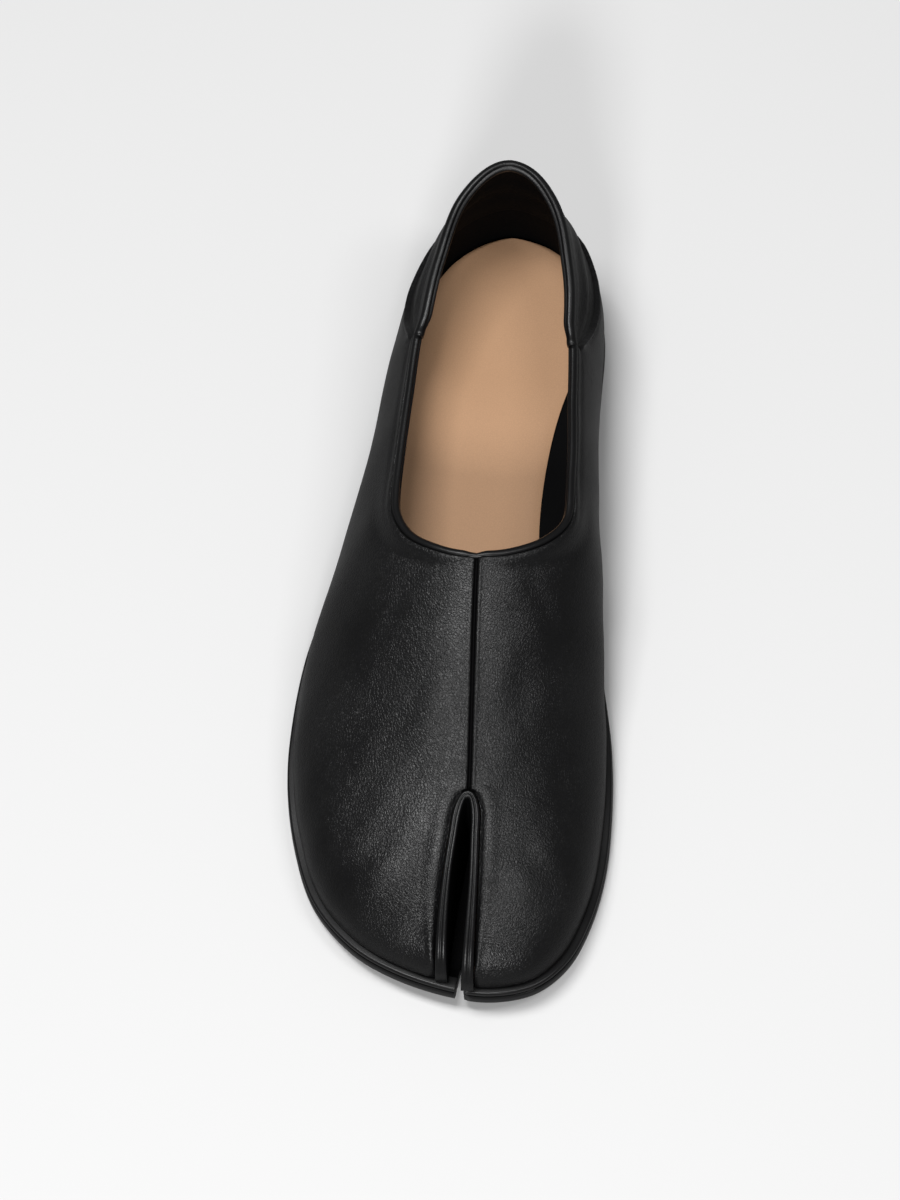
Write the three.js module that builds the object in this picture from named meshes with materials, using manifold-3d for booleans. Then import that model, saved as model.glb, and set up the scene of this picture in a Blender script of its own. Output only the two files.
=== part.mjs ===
// Split-toe loafer for the right foot, in millimetres.
// The toe points to -Y and the heel to +Y, the big-toe side is +X, and the sole stands on Z = 0.
import * as THREE from 'three';
import { mergeVertices } from 'three/addons/utils/BufferGeometryUtils.js';
import Module from 'manifold-3d';

const wasm = await Module();
wasm.setup();

// Driving dimensions
const SHOE_LENGTH = 272; // outsole, toe to heel
const BALL_WIDTH = 105; // outsole, across the joints
const INSTEP_HEIGHT = 52; // ridge of the vamp at the throat, above the welt
const BACK_HEIGHT = 50; // wall of the back quarter, above the welt
const HEEL_LIFT = 14; // heel block
const TOE_SPRING = 5.5; // rise of the outsole at the toe
const OUTSOLE_THICKNESS = 4.5;
const WELT_THICKNESS = 2.5;
const WALL = 2; // leather and lining of the upper
const INSOLE_THICKNESS = 4; // filler board and leather sock
const FIT = 0.3; // clearance between pieces that touch

// Toe cleft
const CLEFT_LENGTH = 57.5; // toe tip to the apex of the cleft
const CLEFT_WIDTH = 12.8; // between the vamp edges at the toe
const CLEFT_ROUNDING = 9; // length of the rounded apex
const GUSSET_WALL = 2.6; // gusset leather with its rolled rim
const GUSSET_BASE = 4.3; // gusset where it meets the welt
const GUSSET_PROUD = 1.4; // rim of the gusset above the vamp
const NOTCH_LENGTH = 13; // split of the sole between the toes
const NOTCH_WIDTH = 3.4;

// Collar
const VAMP_ROLL = 3.2; // turned edge of the vamp round the throat
const BACK_ROLL = 4; // rolled edge of the back quarter
const BACK_STEP = 1.1; // the back quarter lies inside the vamp by this
const STEP_FADE = 0.045; // share of the length over which the step comes in at the joint
const SEAM_FADE = 0.12; // share of the length over which the seam rises to the joint
const PLEAT_DEPTH = 1.3; // folds of the soft back quarter
const PLEAT_COUNT = 2;
const PLEAT_ROOM = 16; // height of wall that a full fold takes
const ROLL_EXTRA = { vamp: 1, back: 1.8 }; // rolls are wider than the wall by this

// Places along the shoe, as shares of its length from the toe
const BALL_FRONT = 0.205; // flat tread under the ball
const BALL_BACK = 0.335;
const HEEL_BREAST = 0.78;
const JOINT_LATERAL = 0.775; // vamp and back quarter meet at the collar
const JOINT_MEDIAL = 0.77;

// Small details
const SEAM_RELIEF = [-0.7, 0.5, 0]; // groove of the centre seam, its raised edge and the flat vamp
const TURNED_EDGE = [3.6, 1.4]; // rows of the wall next to its top edge
const STEP_HALF = 0.45; // half height of the step at the back seam
const CLEFT_LIP = 0.02; // cut edge of the upper, clear of the line of the cleft
const SEAM_CLEAR = 7; // least wall between the back seam and the collar
const NOTCH_SHIFT = 1.4; // split of the sole, towards the big toe from the middle of the cleft
const WELT_SETBACK = 0.2; // edge of the welt inside the edge of the outsole
const HEEL_DRAW = 1.8; // foot of the heel block inside the edge of the outsole
const HEEL_SETBACK = 0.4; // top of the heel block inside the edge of the outsole

// Fineness of the meshes
const OUTLINE_STEPS = 132;
const COLUMN_STEPS = { cleft: 10, seam: 9, collar: 12, back: 13 };
const LOW_ROWS = 6;
const HIGH_ROWS = 6;
const ROLL_SIDES = 8;
const CUT_STEPS = 80;
const PROFILE_STEPS = 48;
const SLAB_STEPS = 44;
const CLEFT_STEPS = 16;
const NORMAL_STEP = 0.004;
const MARGIN = 6; // reach of the cutting solids past the shoe
const TALL = 60; // height of the cutting solids

// Outline of the sole: share of the length from the toe, share of the ball width from the axis
const OUTLINE = [
  { along: 0.0, across: 0.095 },
  { along: 0.004, across: -0.03 },
  { along: 0.024, across: -0.2 },
  { along: 0.054, across: -0.335 },
  { along: 0.11, across: -0.463 },
  { along: 0.185, across: -0.538 },
  { along: 0.265, across: -0.577 },
  { along: 0.335, across: -0.58 },
  { along: 0.42, across: -0.557 },
  { along: 0.5, across: -0.503 },
  { along: 0.6, across: -0.434 },
  { along: 0.7, across: -0.388 },
  { along: 0.8, across: -0.357 },
  { along: 0.88, across: -0.31 },
  { along: 0.95, across: -0.225 },
  { along: 0.99, across: -0.1 },
  { along: 1.0, across: 0.0 },
  { along: 0.985, across: 0.125 },
  { along: 0.94, across: 0.24 },
  { along: 0.87, across: 0.303 },
  { along: 0.78, across: 0.307 },
  { along: 0.68, across: 0.297 },
  { along: 0.58, across: 0.295 },
  { along: 0.49, across: 0.328 },
  { along: 0.41, across: 0.37 },
  { along: 0.33, across: 0.405 },
  { along: 0.25, across: 0.417 },
  { along: 0.17, across: 0.409 },
  { along: 0.102, across: 0.373 },
  { along: 0.049, across: 0.314 },
  { along: 0.014, across: 0.222 },
];

// Ridge of the last, from the toe box up the instep and over the ankle
// height is a share of the instep height, above the welt
const RIDGE = [
  { along: 0.088, across: -0.005, height: 0.417 },
  { along: 0.132, across: -0.004, height: 0.51 },
  { along: 0.215, across: -0.002, height: 0.613 },
  { along: 0.298, across: -0.008, height: 0.729 },
  { along: 0.39, across: -0.015, height: 0.867 },
  { along: 0.474, across: -0.019, height: 0.975 },
  { along: 0.574, across: -0.02, height: 1.12 },
  { along: 0.684, across: -0.015, height: 1.27 },
  { along: 0.794, across: -0.008, height: 1.42 },
  { along: 0.915, across: 0.002, height: 1.54 },
];

// Profiles of the last, from the feather line up to the ridge
// foot: share of the half outline from toe to heel, top: share of the ridge
// splay: degrees of the wall from level at the feather, rise and reach: pull of the
// profile at its foot and at the ridge, crest: degrees that it falls from the ridge
const LATERAL_PROFILES = [
  { foot: 0.0, top: 0.0, splay: 80, rise: 0.55, reach: 0.55, crest: 3 },
  { foot: 0.12, top: 0.035, splay: 80, rise: 0.55, reach: 0.55, crest: 3 },
  { foot: 0.25, top: 0.09, splay: 80, rise: 0.55, reach: 0.5, crest: 4 },
  { foot: 0.33, top: 0.16, splay: 80, rise: 0.5, reach: 0.45, crest: 3 },
  { foot: 0.38, top: 0.27, splay: 80, rise: 0.45, reach: 0.42, crest: 2.5 },
  { foot: 0.45, top: 0.45, splay: 79, rise: 0.38, reach: 0.38, crest: 2 },
  { foot: 0.52, top: 0.57, splay: 74, rise: 0.3, reach: 0.36, crest: 5 },
  { foot: 0.61, top: 0.66, splay: 68, rise: 0.28, reach: 0.32, crest: 18 },
  { foot: 0.7, top: 0.74, splay: 68, rise: 0.28, reach: 0.3, crest: 28 },
  { foot: 0.78, top: 0.82, splay: 73, rise: 0.3, reach: 0.32, crest: 26 },
  { foot: 0.85, top: 0.89, splay: 77, rise: 0.33, reach: 0.48, crest: 20 },
  { foot: 0.92, top: 0.95, splay: 80, rise: 0.36, reach: 0.64, crest: 10 },
  { foot: 1.0, top: 1.0, splay: 81, rise: 0.38, reach: 0.7, crest: 2 },
];
const MEDIAL_PROFILES = [
  { foot: 0.0, top: 0.0, splay: 80, rise: 0.55, reach: 0.55, crest: 3 },
  { foot: 0.12, top: 0.035, splay: 82, rise: 0.58, reach: 0.55, crest: 3 },
  { foot: 0.25, top: 0.09, splay: 82, rise: 0.58, reach: 0.52, crest: 4 },
  { foot: 0.33, top: 0.16, splay: 80, rise: 0.52, reach: 0.48, crest: 3 },
  { foot: 0.38, top: 0.27, splay: 76, rise: 0.48, reach: 0.45, crest: 2.5 },
  { foot: 0.45, top: 0.45, splay: 66, rise: 0.48, reach: 0.5, crest: 2 },
  { foot: 0.52, top: 0.57, splay: 58, rise: 0.45, reach: 0.56, crest: 5 },
  { foot: 0.61, top: 0.66, splay: 54, rise: 0.38, reach: 0.5, crest: 18 },
  { foot: 0.7, top: 0.74, splay: 62, rise: 0.34, reach: 0.4, crest: 28 },
  { foot: 0.78, top: 0.82, splay: 71, rise: 0.32, reach: 0.36, crest: 26 },
  { foot: 0.85, top: 0.89, splay: 77, rise: 0.33, reach: 0.48, crest: 20 },
  { foot: 0.92, top: 0.95, splay: 80, rise: 0.36, reach: 0.64, crest: 10 },
  { foot: 1.0, top: 1.0, splay: 81, rise: 0.38, reach: 0.7, crest: 2 },
];

// Collar line in side view: share of the length, heights as shares of the back height
const COLLAR = [
  { along: 0.44, lateral: 1.05, medial: 1.05 },
  { along: 0.474, lateral: 0.975, medial: 0.98 },
  { along: 0.5, lateral: 0.875, medial: 0.89 },
  { along: 0.537, lateral: 0.78, medial: 0.79 },
  { along: 0.574, lateral: 0.72, medial: 0.74 },
  { along: 0.63, lateral: 0.66, medial: 0.68 },
  { along: 0.7, lateral: 0.62, medial: 0.635 },
  { along: 0.776, lateral: 0.635, medial: 0.645 },
  { along: 0.83, lateral: 0.7, medial: 0.705 },
  { along: 0.886, lateral: 0.812, medial: 0.815 },
  { along: 0.934, lateral: 0.92, medial: 0.92 },
  { along: 0.978, lateral: 0.994, medial: 0.994 },
  { along: 1.0, lateral: 1.0, medial: 1.0 },
];

// Seam where the back quarter comes out of the vamp: heights as shares of the back height
const BACK_SEAM = [
  { along: 0.74, height: 0.56 },
  { along: 0.775, height: 0.52 },
  { along: 0.82, height: 0.42 },
  { along: 0.88, height: 0.37 },
  { along: 1.0, height: 0.35 },
];

// Inset of the feather line from the edge of the sole
const FEATHER = [
  { foot: 0.0, inset: 2.4 },
  { foot: 0.3, inset: 2.5 },
  { foot: 0.45, inset: 1.9 },
  { foot: 0.6, inset: 1.2 },
  { foot: 1.0, inset: 1.2 },
];

const clamp = (value, low, high) => Math.min(Math.max(value, low), high);
const mix = (a, b, t) => a + (b - a) * t;
const smooth = (t) => {
  const s = clamp(t, 0, 1);
  return s * s * (3 - 2 * s);
};
const alongToY = (along) => (along - 0.5) * SHOE_LENGTH;
const yToAlong = (y) => y / SHOE_LENGTH + 0.5;

// Smooth curve through the rows of a table, as a function of one of its columns;
// a level one runs level at both ends, so that the two halves of the shoe meet smoothly
function tableCurve(rows, key, column, isLevel = false) {
  const x = rows.map((row) => row[key]);
  const y = rows.map((row) => row[column]);
  const last = rows.length - 1;
  const chord = x.slice(1).map((next, i) => (y[i + 1] - y[i]) / (next - x[i]));
  const slope = x.map((_, i) => {
    if (i === 0) return isLevel ? 0 : chord[0];
    if (i === last) return isLevel ? 0 : chord[last - 1];
    const before = x[i] - x[i - 1];
    const after = x[i + 1] - x[i];
    return (chord[i - 1] * after + chord[i] * before) / (before + after);
  });
  return (value) => {
    const at = clamp(value, x[0], x[last]);
    let i = 0;
    while (i < last - 1 && at > x[i + 1]) i += 1;
    const h = x[i + 1] - x[i];
    const t = (at - x[i]) / h;
    const t2 = t * t;
    const t3 = t2 * t;
    const ends = y[i] * (2 * t3 - 3 * t2 + 1) + y[i + 1] * (3 * t2 - 2 * t3);
    return ends + h * (slope[i] * (t3 - 2 * t2 + t) + slope[i + 1] * (t3 - t2));
  };
}

// Underside of the outsole: toe spring, flat tread, shank and heel seat
function treadHeight(y) {
  const along = yToAlong(y);
  if (along < BALL_FRONT) return TOE_SPRING * ((BALL_FRONT - along) / BALL_FRONT) ** 1.8;
  if (along < BALL_BACK) return 0;
  return HEEL_LIFT * smooth((along - BALL_BACK) / (HEEL_BREAST - BALL_BACK));
}
const outsoleTop = (y) => treadHeight(y) + OUTSOLE_THICKNESS;
const weltTop = (y) => outsoleTop(y) + FIT + WELT_THICKNESS;
const wallFoot = (y) => weltTop(y) + FIT;
const insoleBottom = (y) => outsoleTop(y) + FIT;

// Outline of the sole as a closed curve; side is -1 for lateral and 1 for medial
const outlinePoints = OUTLINE.map(
  ({ along, across }) => new THREE.Vector3(across * BALL_WIDTH, alongToY(along), 0),
);
const outlineCurve = new THREE.CatmullRomCurve3(outlinePoints, true, 'centripetal');
outlineCurve.arcLengthDivisions = 2000;

// Shares of the closed outline at the middle of the cleft and at the back of the heel
function outlineShare(target, from, to) {
  let best = from;
  let nearest = Infinity;
  const steps = 4000;
  for (let i = 0; i <= steps; i += 1) {
    const share = mix(from, to, i / steps);
    const distance = outlineCurve.getPointAt(share).distanceTo(target);
    if (distance < nearest) {
      nearest = distance;
      best = share;
    }
  }
  return best;
}
const heelPoint = new THREE.Vector3(0, alongToY(1), 0);
const heelShare = outlineShare(heelPoint, 0.3, 0.7);

// Middle line and half width of the cleft, and its side edges in plan
const CLEFT_MIDDLE = [
  { along: 0.0, across: -0.0155 },
  { along: 0.06, across: -0.015 },
  { along: 0.12, across: -0.011 },
  { along: 0.215, across: -0.002 },
];
const CLEFT_SPREAD = [
  { along: 0.0, share: 1.0 },
  { along: 0.06, share: 0.98 },
  { along: 0.12, share: 0.88 },
  { along: 0.17, share: 0.75 },
  { along: 0.215, share: 0.68 },
];
const cleftAcross = tableCurve(CLEFT_MIDDLE, 'along', 'across');
const cleftShare = tableCurve(CLEFT_SPREAD, 'along', 'share');
const cleftMiddle = (y) => cleftAcross(yToAlong(y)) * BALL_WIDTH;
const apexY = alongToY(0) + CLEFT_LENGTH;
function cleftHalf(y) {
  const depth = apexY - y;
  if (depth <= 0) return 0;
  const round = depth < CLEFT_ROUNDING ? Math.sqrt(1 - (1 - depth / CLEFT_ROUNDING) ** 2) : 1;
  return (CLEFT_WIDTH / 2) * cleftShare(yToAlong(y)) * round;
}
const toeShare = outlineShare(new THREE.Vector3(cleftMiddle(alongToY(0)), alongToY(0), 0), 0, 0.06);

function outlineAt(foot, side) {
  const share = side < 0 ? mix(toeShare, heelShare, foot) : mix(toeShare + 1, heelShare, foot);
  return share >= 1 ? share - 1 : share;
}
const featherInset = tableCurve(FEATHER, 'foot', 'inset');

// Point of the outline moved inwards, in plan
function insetPoint(foot, side, inset) {
  const share = outlineAt(foot, side);
  const tangent = outlineCurve.getTangentAt(share);
  const point = outlineCurve.getPointAt(share);
  return new THREE.Vector3(point.x + tangent.y * inset, point.y - tangent.x * inset, 0);
}

// Ridge of the last
const ridgeCurve = new THREE.CatmullRomCurve3(
  RIDGE.map(({ along, across, height }) => {
    const y = alongToY(along);
    return new THREE.Vector3(across * BALL_WIDTH, y, wallFoot(y) + height * INSTEP_HEIGHT);
  }),
);
const profileTables = [LATERAL_PROFILES, MEDIAL_PROFILES].map((rows) => ({
  top: tableCurve(rows, 'foot', 'top', true),
  splay: tableCurve(rows, 'foot', 'splay', true),
  rise: tableCurve(rows, 'foot', 'rise', true),
  reach: tableCurve(rows, 'foot', 'reach', true),
  crest: tableCurve(rows, 'foot', 'crest', true),
}));
const tablesOf = (side) => profileTables[side < 0 ? 0 : 1];

// One profile of the last, a cubic curve from the feather line up to the ridge
function profileAt(foot, side) {
  const table = tablesOf(side);
  const start = insetPoint(foot, side, featherInset(foot));
  start.z = wallFoot(start.y);
  const inner = insetPoint(foot, side, featherInset(foot) + 1);
  const outward = new THREE.Vector3(start.x - inner.x, start.y - inner.y, 0).normalize();
  const share = table.top(foot);
  const end = ridgeCurve.getPointAt(share);
  const ridge = ridgeCurve.getTangentAt(share);
  const splay = THREE.MathUtils.degToRad(table.splay(foot));
  const lift = (end.z - start.z) * table.rise(foot);
  const pullUp = outward.multiplyScalar((Math.cos(splay) / Math.sin(splay)) * lift);
  const first = start.clone().add(pullUp).add(new THREE.Vector3(0, 0, lift));
  const plan = new THREE.Vector3(start.x - end.x, start.y - end.y, 0);
  const distance = plan.length();
  plan.normalize();
  const level = Math.hypot(ridge.x, ridge.y);
  const forward = (plan.x * ridge.x + plan.y * ridge.y) / level;
  const sideways = Math.sqrt(Math.max(0, 1 - forward * forward));
  const crest = Math.tan(THREE.MathUtils.degToRad(table.crest(foot)));
  plan.z = (ridge.z / level) * forward - crest * sideways;
  const second = end.clone().addScaledVector(plan, distance * table.reach(foot));
  return new THREE.CubicBezierCurve3(start, first, second, end);
}
const lastPoint = (foot, side, share) => profileAt(foot, side).getPoint(share);

// Height of the collar line above the floor
const collarShares = [
  tableCurve(COLLAR, 'along', 'lateral'),
  tableCurve(COLLAR, 'along', 'medial'),
];
function collarHeight(y, side) {
  return wallFoot(y) + collarShares[side < 0 ? 0 : 1](yToAlong(y)) * BACK_HEIGHT;
}
function isCutAway(point, side) {
  const inCleft = point.y < apexY && Math.abs(point.x - cleftMiddle(point.y)) < cleftHalf(point.y);
  return inCleft || point.z > collarHeight(point.y, side);
}

// Share of a profile at which the cleft or the collar cuts it off
function cutShare(foot, side) {
  const curve = profileAt(foot, side);
  let low = 0;
  let high = 0;
  for (let i = 1; i < CUT_STEPS && high === 0; i += 1) {
    if (isCutAway(curve.getPoint(i / CUT_STEPS), side)) high = i / CUT_STEPS;
    else low = i / CUT_STEPS;
  }
  if (high === 0) return 1;
  for (let i = 0; i < 24; i += 1) {
    const middle = (low + high) / 2;
    if (isCutAway(curve.getPoint(middle), side)) high = middle;
    else low = middle;
  }
  return low;
}

// Value between low and high where a test turns from true to false
function turningPoint(test, low, high) {
  let yes = low;
  let no = high;
  for (let i = 0; i < 30; i += 1) {
    const middle = (yes + no) / 2;
    if (test(middle)) yes = middle;
    else no = middle;
  }
  return yes;
}
const ridgeIsWhole = (share) => {
  const point = ridgeCurve.getPointAt(share);
  return point.y < apexY || point.z <= collarHeight(point.y, 1);
};
const apexTop = turningPoint((share) => ridgeCurve.getPointAt(share).y < apexY, 0, 1);
const throatTop = turningPoint(ridgeIsWhole, apexTop, 1);
const footAtTop = (top, side) => turningPoint((foot) => tablesOf(side).top(foot) < top, 0, 1);

// First foot share that stands clear of the cleft
function cornerFoot(side) {
  const blocked = (foot) => {
    const point = insetPoint(foot, side, featherInset(foot));
    return Math.abs(point.x - cleftMiddle(point.y)) < cleftHalf(point.y) + FIT;
  };
  return turningPoint(blocked, 0, 0.2);
}

// Foot shares from one value to another, spread evenly along the foot and the top edge together
function evenFeet(from, to, side, steps) {
  const samples = 160;
  const feet = Array.from({ length: samples + 1 }, (_, i) => mix(from, to, i / samples));
  const tops = feet.map((foot) => lastPoint(foot, side, cutShare(foot, side)));
  const starts = feet.map((foot) => lastPoint(foot, side, 0));
  const travelled = [0];
  for (let i = 1; i <= samples; i += 1) {
    const step = tops[i].distanceTo(tops[i - 1]) + 0.5 * starts[i].distanceTo(starts[i - 1]);
    travelled.push(travelled[i - 1] + step);
  }
  return Array.from({ length: steps + 1 }, (_, k) => {
    const target = (travelled[samples] * k) / steps;
    let i = 0;
    while (i < samples - 1 && travelled[i + 1] < target) i += 1;
    const share = (target - travelled[i]) / (travelled[i + 1] - travelled[i]);
    return mix(feet[i], feet[i + 1], clamp(share, 0, 1));
  });
}

// Foot share whose profile reaches the collar where the vamp meets the back quarter
function jointFoot(side) {
  const ahead = (foot) => {
    const top = lastPoint(foot, side, cutShare(foot, side));
    return yToAlong(top.y) < (side < 0 ? JOINT_LATERAL : JOINT_MEDIAL);
  };
  return turningPoint(ahead, footAtTop(throatTop, side), 1);
}

// Columns of one half of the upper, from the cleft corner to the back of the heel
function halfColumns(side) {
  const corner = cornerFoot(side) + 0.004;
  const apex = footAtTop(apexTop, side);
  const throat = footAtTop(throatTop, side);
  const columns = evenFeet(corner, apex, side, COLUMN_STEPS.cleft)
    .slice(0, -1)
    .map((foot) => ({ foot, edge: 'cleft' }));
  for (let i = 0; i <= COLUMN_STEPS.seam; i += 1) {
    const top = mix(apexTop, throatTop, i / COLUMN_STEPS.seam);
    columns.push({ foot: footAtTop(top, side), edge: 'seam', top });
  }
  const joint = jointFoot(side);
  evenFeet(throat, joint, side, COLUMN_STEPS.collar)
    .slice(1)
    .forEach((foot) => columns.push({ foot, edge: 'collar' }));
  evenFeet(joint, 1, side, COLUMN_STEPS.back)
    .slice(1)
    .forEach((foot) => columns.push({ foot, edge: 'back' }));
  return columns.map((column) => ({ ...column, side }));
}

// Closed solids from rows of points: a grid whose columns and rings are joined by triangles
function meshFrom(triangles) {
  const position = new Float32Array(triangles.length * 9);
  triangles.forEach((corners, i) => {
    corners.forEach((point, k) => point.toArray(position, i * 9 + k * 3));
  });
  const geometry = new THREE.BufferGeometry();
  geometry.setAttribute('position', new THREE.BufferAttribute(position, 3));
  return mergeVertices(geometry, 1e-4);
}
function addQuad(triangles, a, b, c, d) {
  triangles.push([a, b, c], [a, c, d]);
}
const signedVolume = (triangles) =>
  triangles.reduce((sum, [a, b, c]) => sum + a.dot(b.clone().cross(c)) / 6, 0);
const facingOut = (triangles) =>
  signedVolume(triangles) > 0 ? triangles : triangles.map(([a, b, c]) => [a, c, b]);

// Tube through rings of points, each ring closed, with flat ends
function tubeThrough(rings) {
  const triangles = [];
  const sides = rings[0].length;
  for (let i = 0; i + 1 < rings.length; i += 1) {
    for (let k = 0; k < sides; k += 1) {
      const next = (k + 1) % sides;
      addQuad(triangles, rings[i][k], rings[i][next], rings[i + 1][next], rings[i + 1][k]);
    }
  }
  [rings[0], rings[rings.length - 1]].forEach((ring, end) => {
    for (let k = 1; k + 1 < sides; k += 1) {
      const fan = [ring[0], ring[k], ring[k + 1]];
      triangles.push(end === 0 ? [fan[0], fan[2], fan[1]] : fan);
    }
  });
  return meshFrom(facingOut(triangles));
}

// Outward normal of the last; the ridge takes the mean of its two sides
function sideNormal(foot, side, share) {
  const ahead = clamp(foot + NORMAL_STEP, 0, 1);
  const behind = clamp(foot - NORMAL_STEP, 0, 1);
  const up = clamp(share + NORMAL_STEP, 0, 1);
  const down = clamp(share - NORMAL_STEP, 0, 1);
  const across = lastPoint(ahead, side, share).sub(lastPoint(behind, side, share));
  const rising = lastPoint(foot, side, up).sub(lastPoint(foot, side, down));
  return across.cross(rising).multiplyScalar(side).normalize();
}
function outwardNormal(foot, side, share) {
  const normal = sideNormal(foot, side, share);
  if (share > 0.9999) {
    const top = tablesOf(side).top(foot);
    return normal.add(sideNormal(footAtTop(top, -side), -side, share)).normalize();
  }
  if (foot > 0.9999) return normal.add(sideNormal(foot, -side, share)).normalize();
  return normal;
}

// Soft form of the back quarter: it drops inside the vamp at its seam, and folds along its collar
const backSeamShare = tableCurve(BACK_SEAM, 'along', 'height');
const seamStart = (side) => (side < 0 ? JOINT_LATERAL : JOINT_MEDIAL);
const pastJoint = (y, side, fade) => smooth((yToAlong(y) - seamStart(side) + fade) / fade);
const seamHeight = (y) => wallFoot(y) + backSeamShare(yToAlong(y)) * BACK_HEIGHT;
function softForm(point, side, aboveSeam) {
  const strength = pastJoint(point.y, side, STEP_FADE);
  if (strength === 0 || !aboveSeam) return 0;
  const room = Math.max(collarHeight(point.y, side) - seamHeight(point.y), 1);
  const level = clamp((point.z - seamHeight(point.y)) / room, 0, 1);
  const swell = Math.sin(level * Math.PI);
  const fold = 1 + Math.sin(level * Math.PI * 2 * PLEAT_COUNT) * swell;
  const depth = (PLEAT_DEPTH / 2) * smooth(room / PLEAT_ROOM);
  return -strength * (BACK_STEP + depth * fold * swell);
}

// One column of the upper: shares of the profile for its rows, close together at the seam step
// and at the top edge
function columnRows({ foot, side }) {
  const curve = profileAt(foot, side);
  const cut = cutShare(foot, side);
  const lengths = [0];
  const spots = [curve.getPoint(0)];
  for (let i = 1; i <= PROFILE_STEPS; i += 1) {
    spots.push(curve.getPoint((cut * i) / PROFILE_STEPS));
    lengths.push(lengths[i - 1] + spots[i].distanceTo(spots[i - 1]));
  }
  const total = lengths[PROFILE_STEPS];
  const shareAt = (length) => {
    let i = 0;
    while (i < PROFILE_STEPS - 1 && lengths[i + 1] < length) i += 1;
    const t = (length - lengths[i]) / (lengths[i + 1] - lengths[i]);
    return (cut * (i + clamp(t, 0, 1))) / PROFILE_STEPS;
  };
  const overSeam = spots.map((spot) => spot.z - seamHeight(spot.y));
  const above = overSeam.findIndex((height) => height > 0);
  let room = 0;
  if (above > 0) {
    const t = overSeam[above] / (overSeam[above] - overSeam[above - 1]);
    room = total - mix(lengths[above], lengths[above - 1], t);
  }
  const spare = room - SEAM_CLEAR;
  const clear = SEAM_CLEAR + (spare + Math.hypot(spare, SEAM_CLEAR / 2)) / 2;
  const seam = mix(total * 0.5, total - clear, pastJoint(spots.at(-1).y, side, SEAM_FADE));
  const half = Math.min(STEP_HALF, total * 0.03);
  const edges = TURNED_EDGE.map((distance) => total - Math.min(distance, total * distance * 0.05));
  const marks = [];
  for (let i = 0; i <= LOW_ROWS; i += 1) marks.push(mix(0, seam - half, i / LOW_ROWS));
  const highTop = edges[0];
  for (let i = 0; i < HIGH_ROWS; i += 1) marks.push(mix(seam + half, highTop, i / (HIGH_ROWS - 1)));
  marks.push(edges[1]);
  marks.push(total);
  return marks.map((length, row) => ({ share: row === marks.length - 1 ? cut : shareAt(length), row }));
}

// Outer and inner points of one column
const besideCleft = (y, side) => cleftMiddle(y) + side * (cleftHalf(y) + CLEFT_LIP);
function wallColumn(column, index) {
  const { foot, side, edge } = column;
  const isFirst = index === 0;
  const rows = columnRows(column);
  const lastRow = rows.length - 1;
  const outer = [];
  const inner = [];
  rows.forEach(({ share, row }) => {
    const onRidge = edge === 'seam' && row === lastRow;
    const base = onRidge ? ridgeCurve.getPointAt(column.top) : lastPoint(foot, side, share);
    const normal = outwardNormal(foot, side, onRidge ? 1 : share);
    if (onRidge) normal.x *= 0.5;
    normal.normalize();
    const soft = softForm(base, side, row > LOW_ROWS);
    const groove = edge === 'seam' ? SEAM_RELIEF[lastRow - row] ?? 0 : 0;
    outer.push(base.clone().addScaledVector(normal, soft + groove));
    const back = base.clone().addScaledVector(normal, soft - WALL);
    if (row === 0) {
      const inside = insetPoint(foot, side, featherInset(foot) + WALL);
      back.set(inside.x, inside.y, base.z);
    }
    if (edge === 'cleft' && row > 0) {
      const lip = besideCleft(back.y, side);
      if (side * (back.x - lip) < 0) back.x = lip;
    }
    inner.push(back);
  });
  if (isFirst) {
    [...outer, ...inner].forEach((point) => {
      point.x = besideCleft(point.y, side);
    });
  }
  return { ...column, outer, inner };
}

// Upper: one hollow wall, open at the collar, at the cleft and underneath
const lateral = halfColumns(-1).map(wallColumn);
const medial = halfColumns(1).map(wallColumn);
const round = [...lateral, ...medial.slice(0, -1).reverse()];
medial[medial.length - 1] = lateral[lateral.length - 1];

function upperTriangles() {
  const triangles = [];
  const rows = round[0].outer.length;
  for (let i = 0; i + 1 < round.length; i += 1) {
    const here = round[i];
    const next = round[i + 1];
    for (let k = 0; k + 1 < rows; k += 1) {
      addQuad(triangles, here.outer[k], here.outer[k + 1], next.outer[k + 1], next.outer[k]);
      addQuad(triangles, here.inner[k], next.inner[k], next.inner[k + 1], here.inner[k + 1]);
    }
    addQuad(triangles, here.outer[0], next.outer[0], next.inner[0], here.inner[0]);
    const top = rows - 1;
    const seamed = here.edge === 'seam' && next.edge === 'seam';
    if (!seamed) {
      addQuad(triangles, here.outer[top], here.inner[top], next.inner[top], next.outer[top]);
    }
  }
  [round[0], round[round.length - 1]].forEach((column, end) => {
    for (let k = 0; k + 1 < rows; k += 1) {
      const { outer, inner } = column;
      if (end === 0) addQuad(triangles, outer[k], inner[k], inner[k + 1], outer[k + 1]);
      else addQuad(triangles, outer[k], outer[k + 1], inner[k + 1], inner[k]);
    }
  });
  return facingOut(triangles);
}

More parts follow.
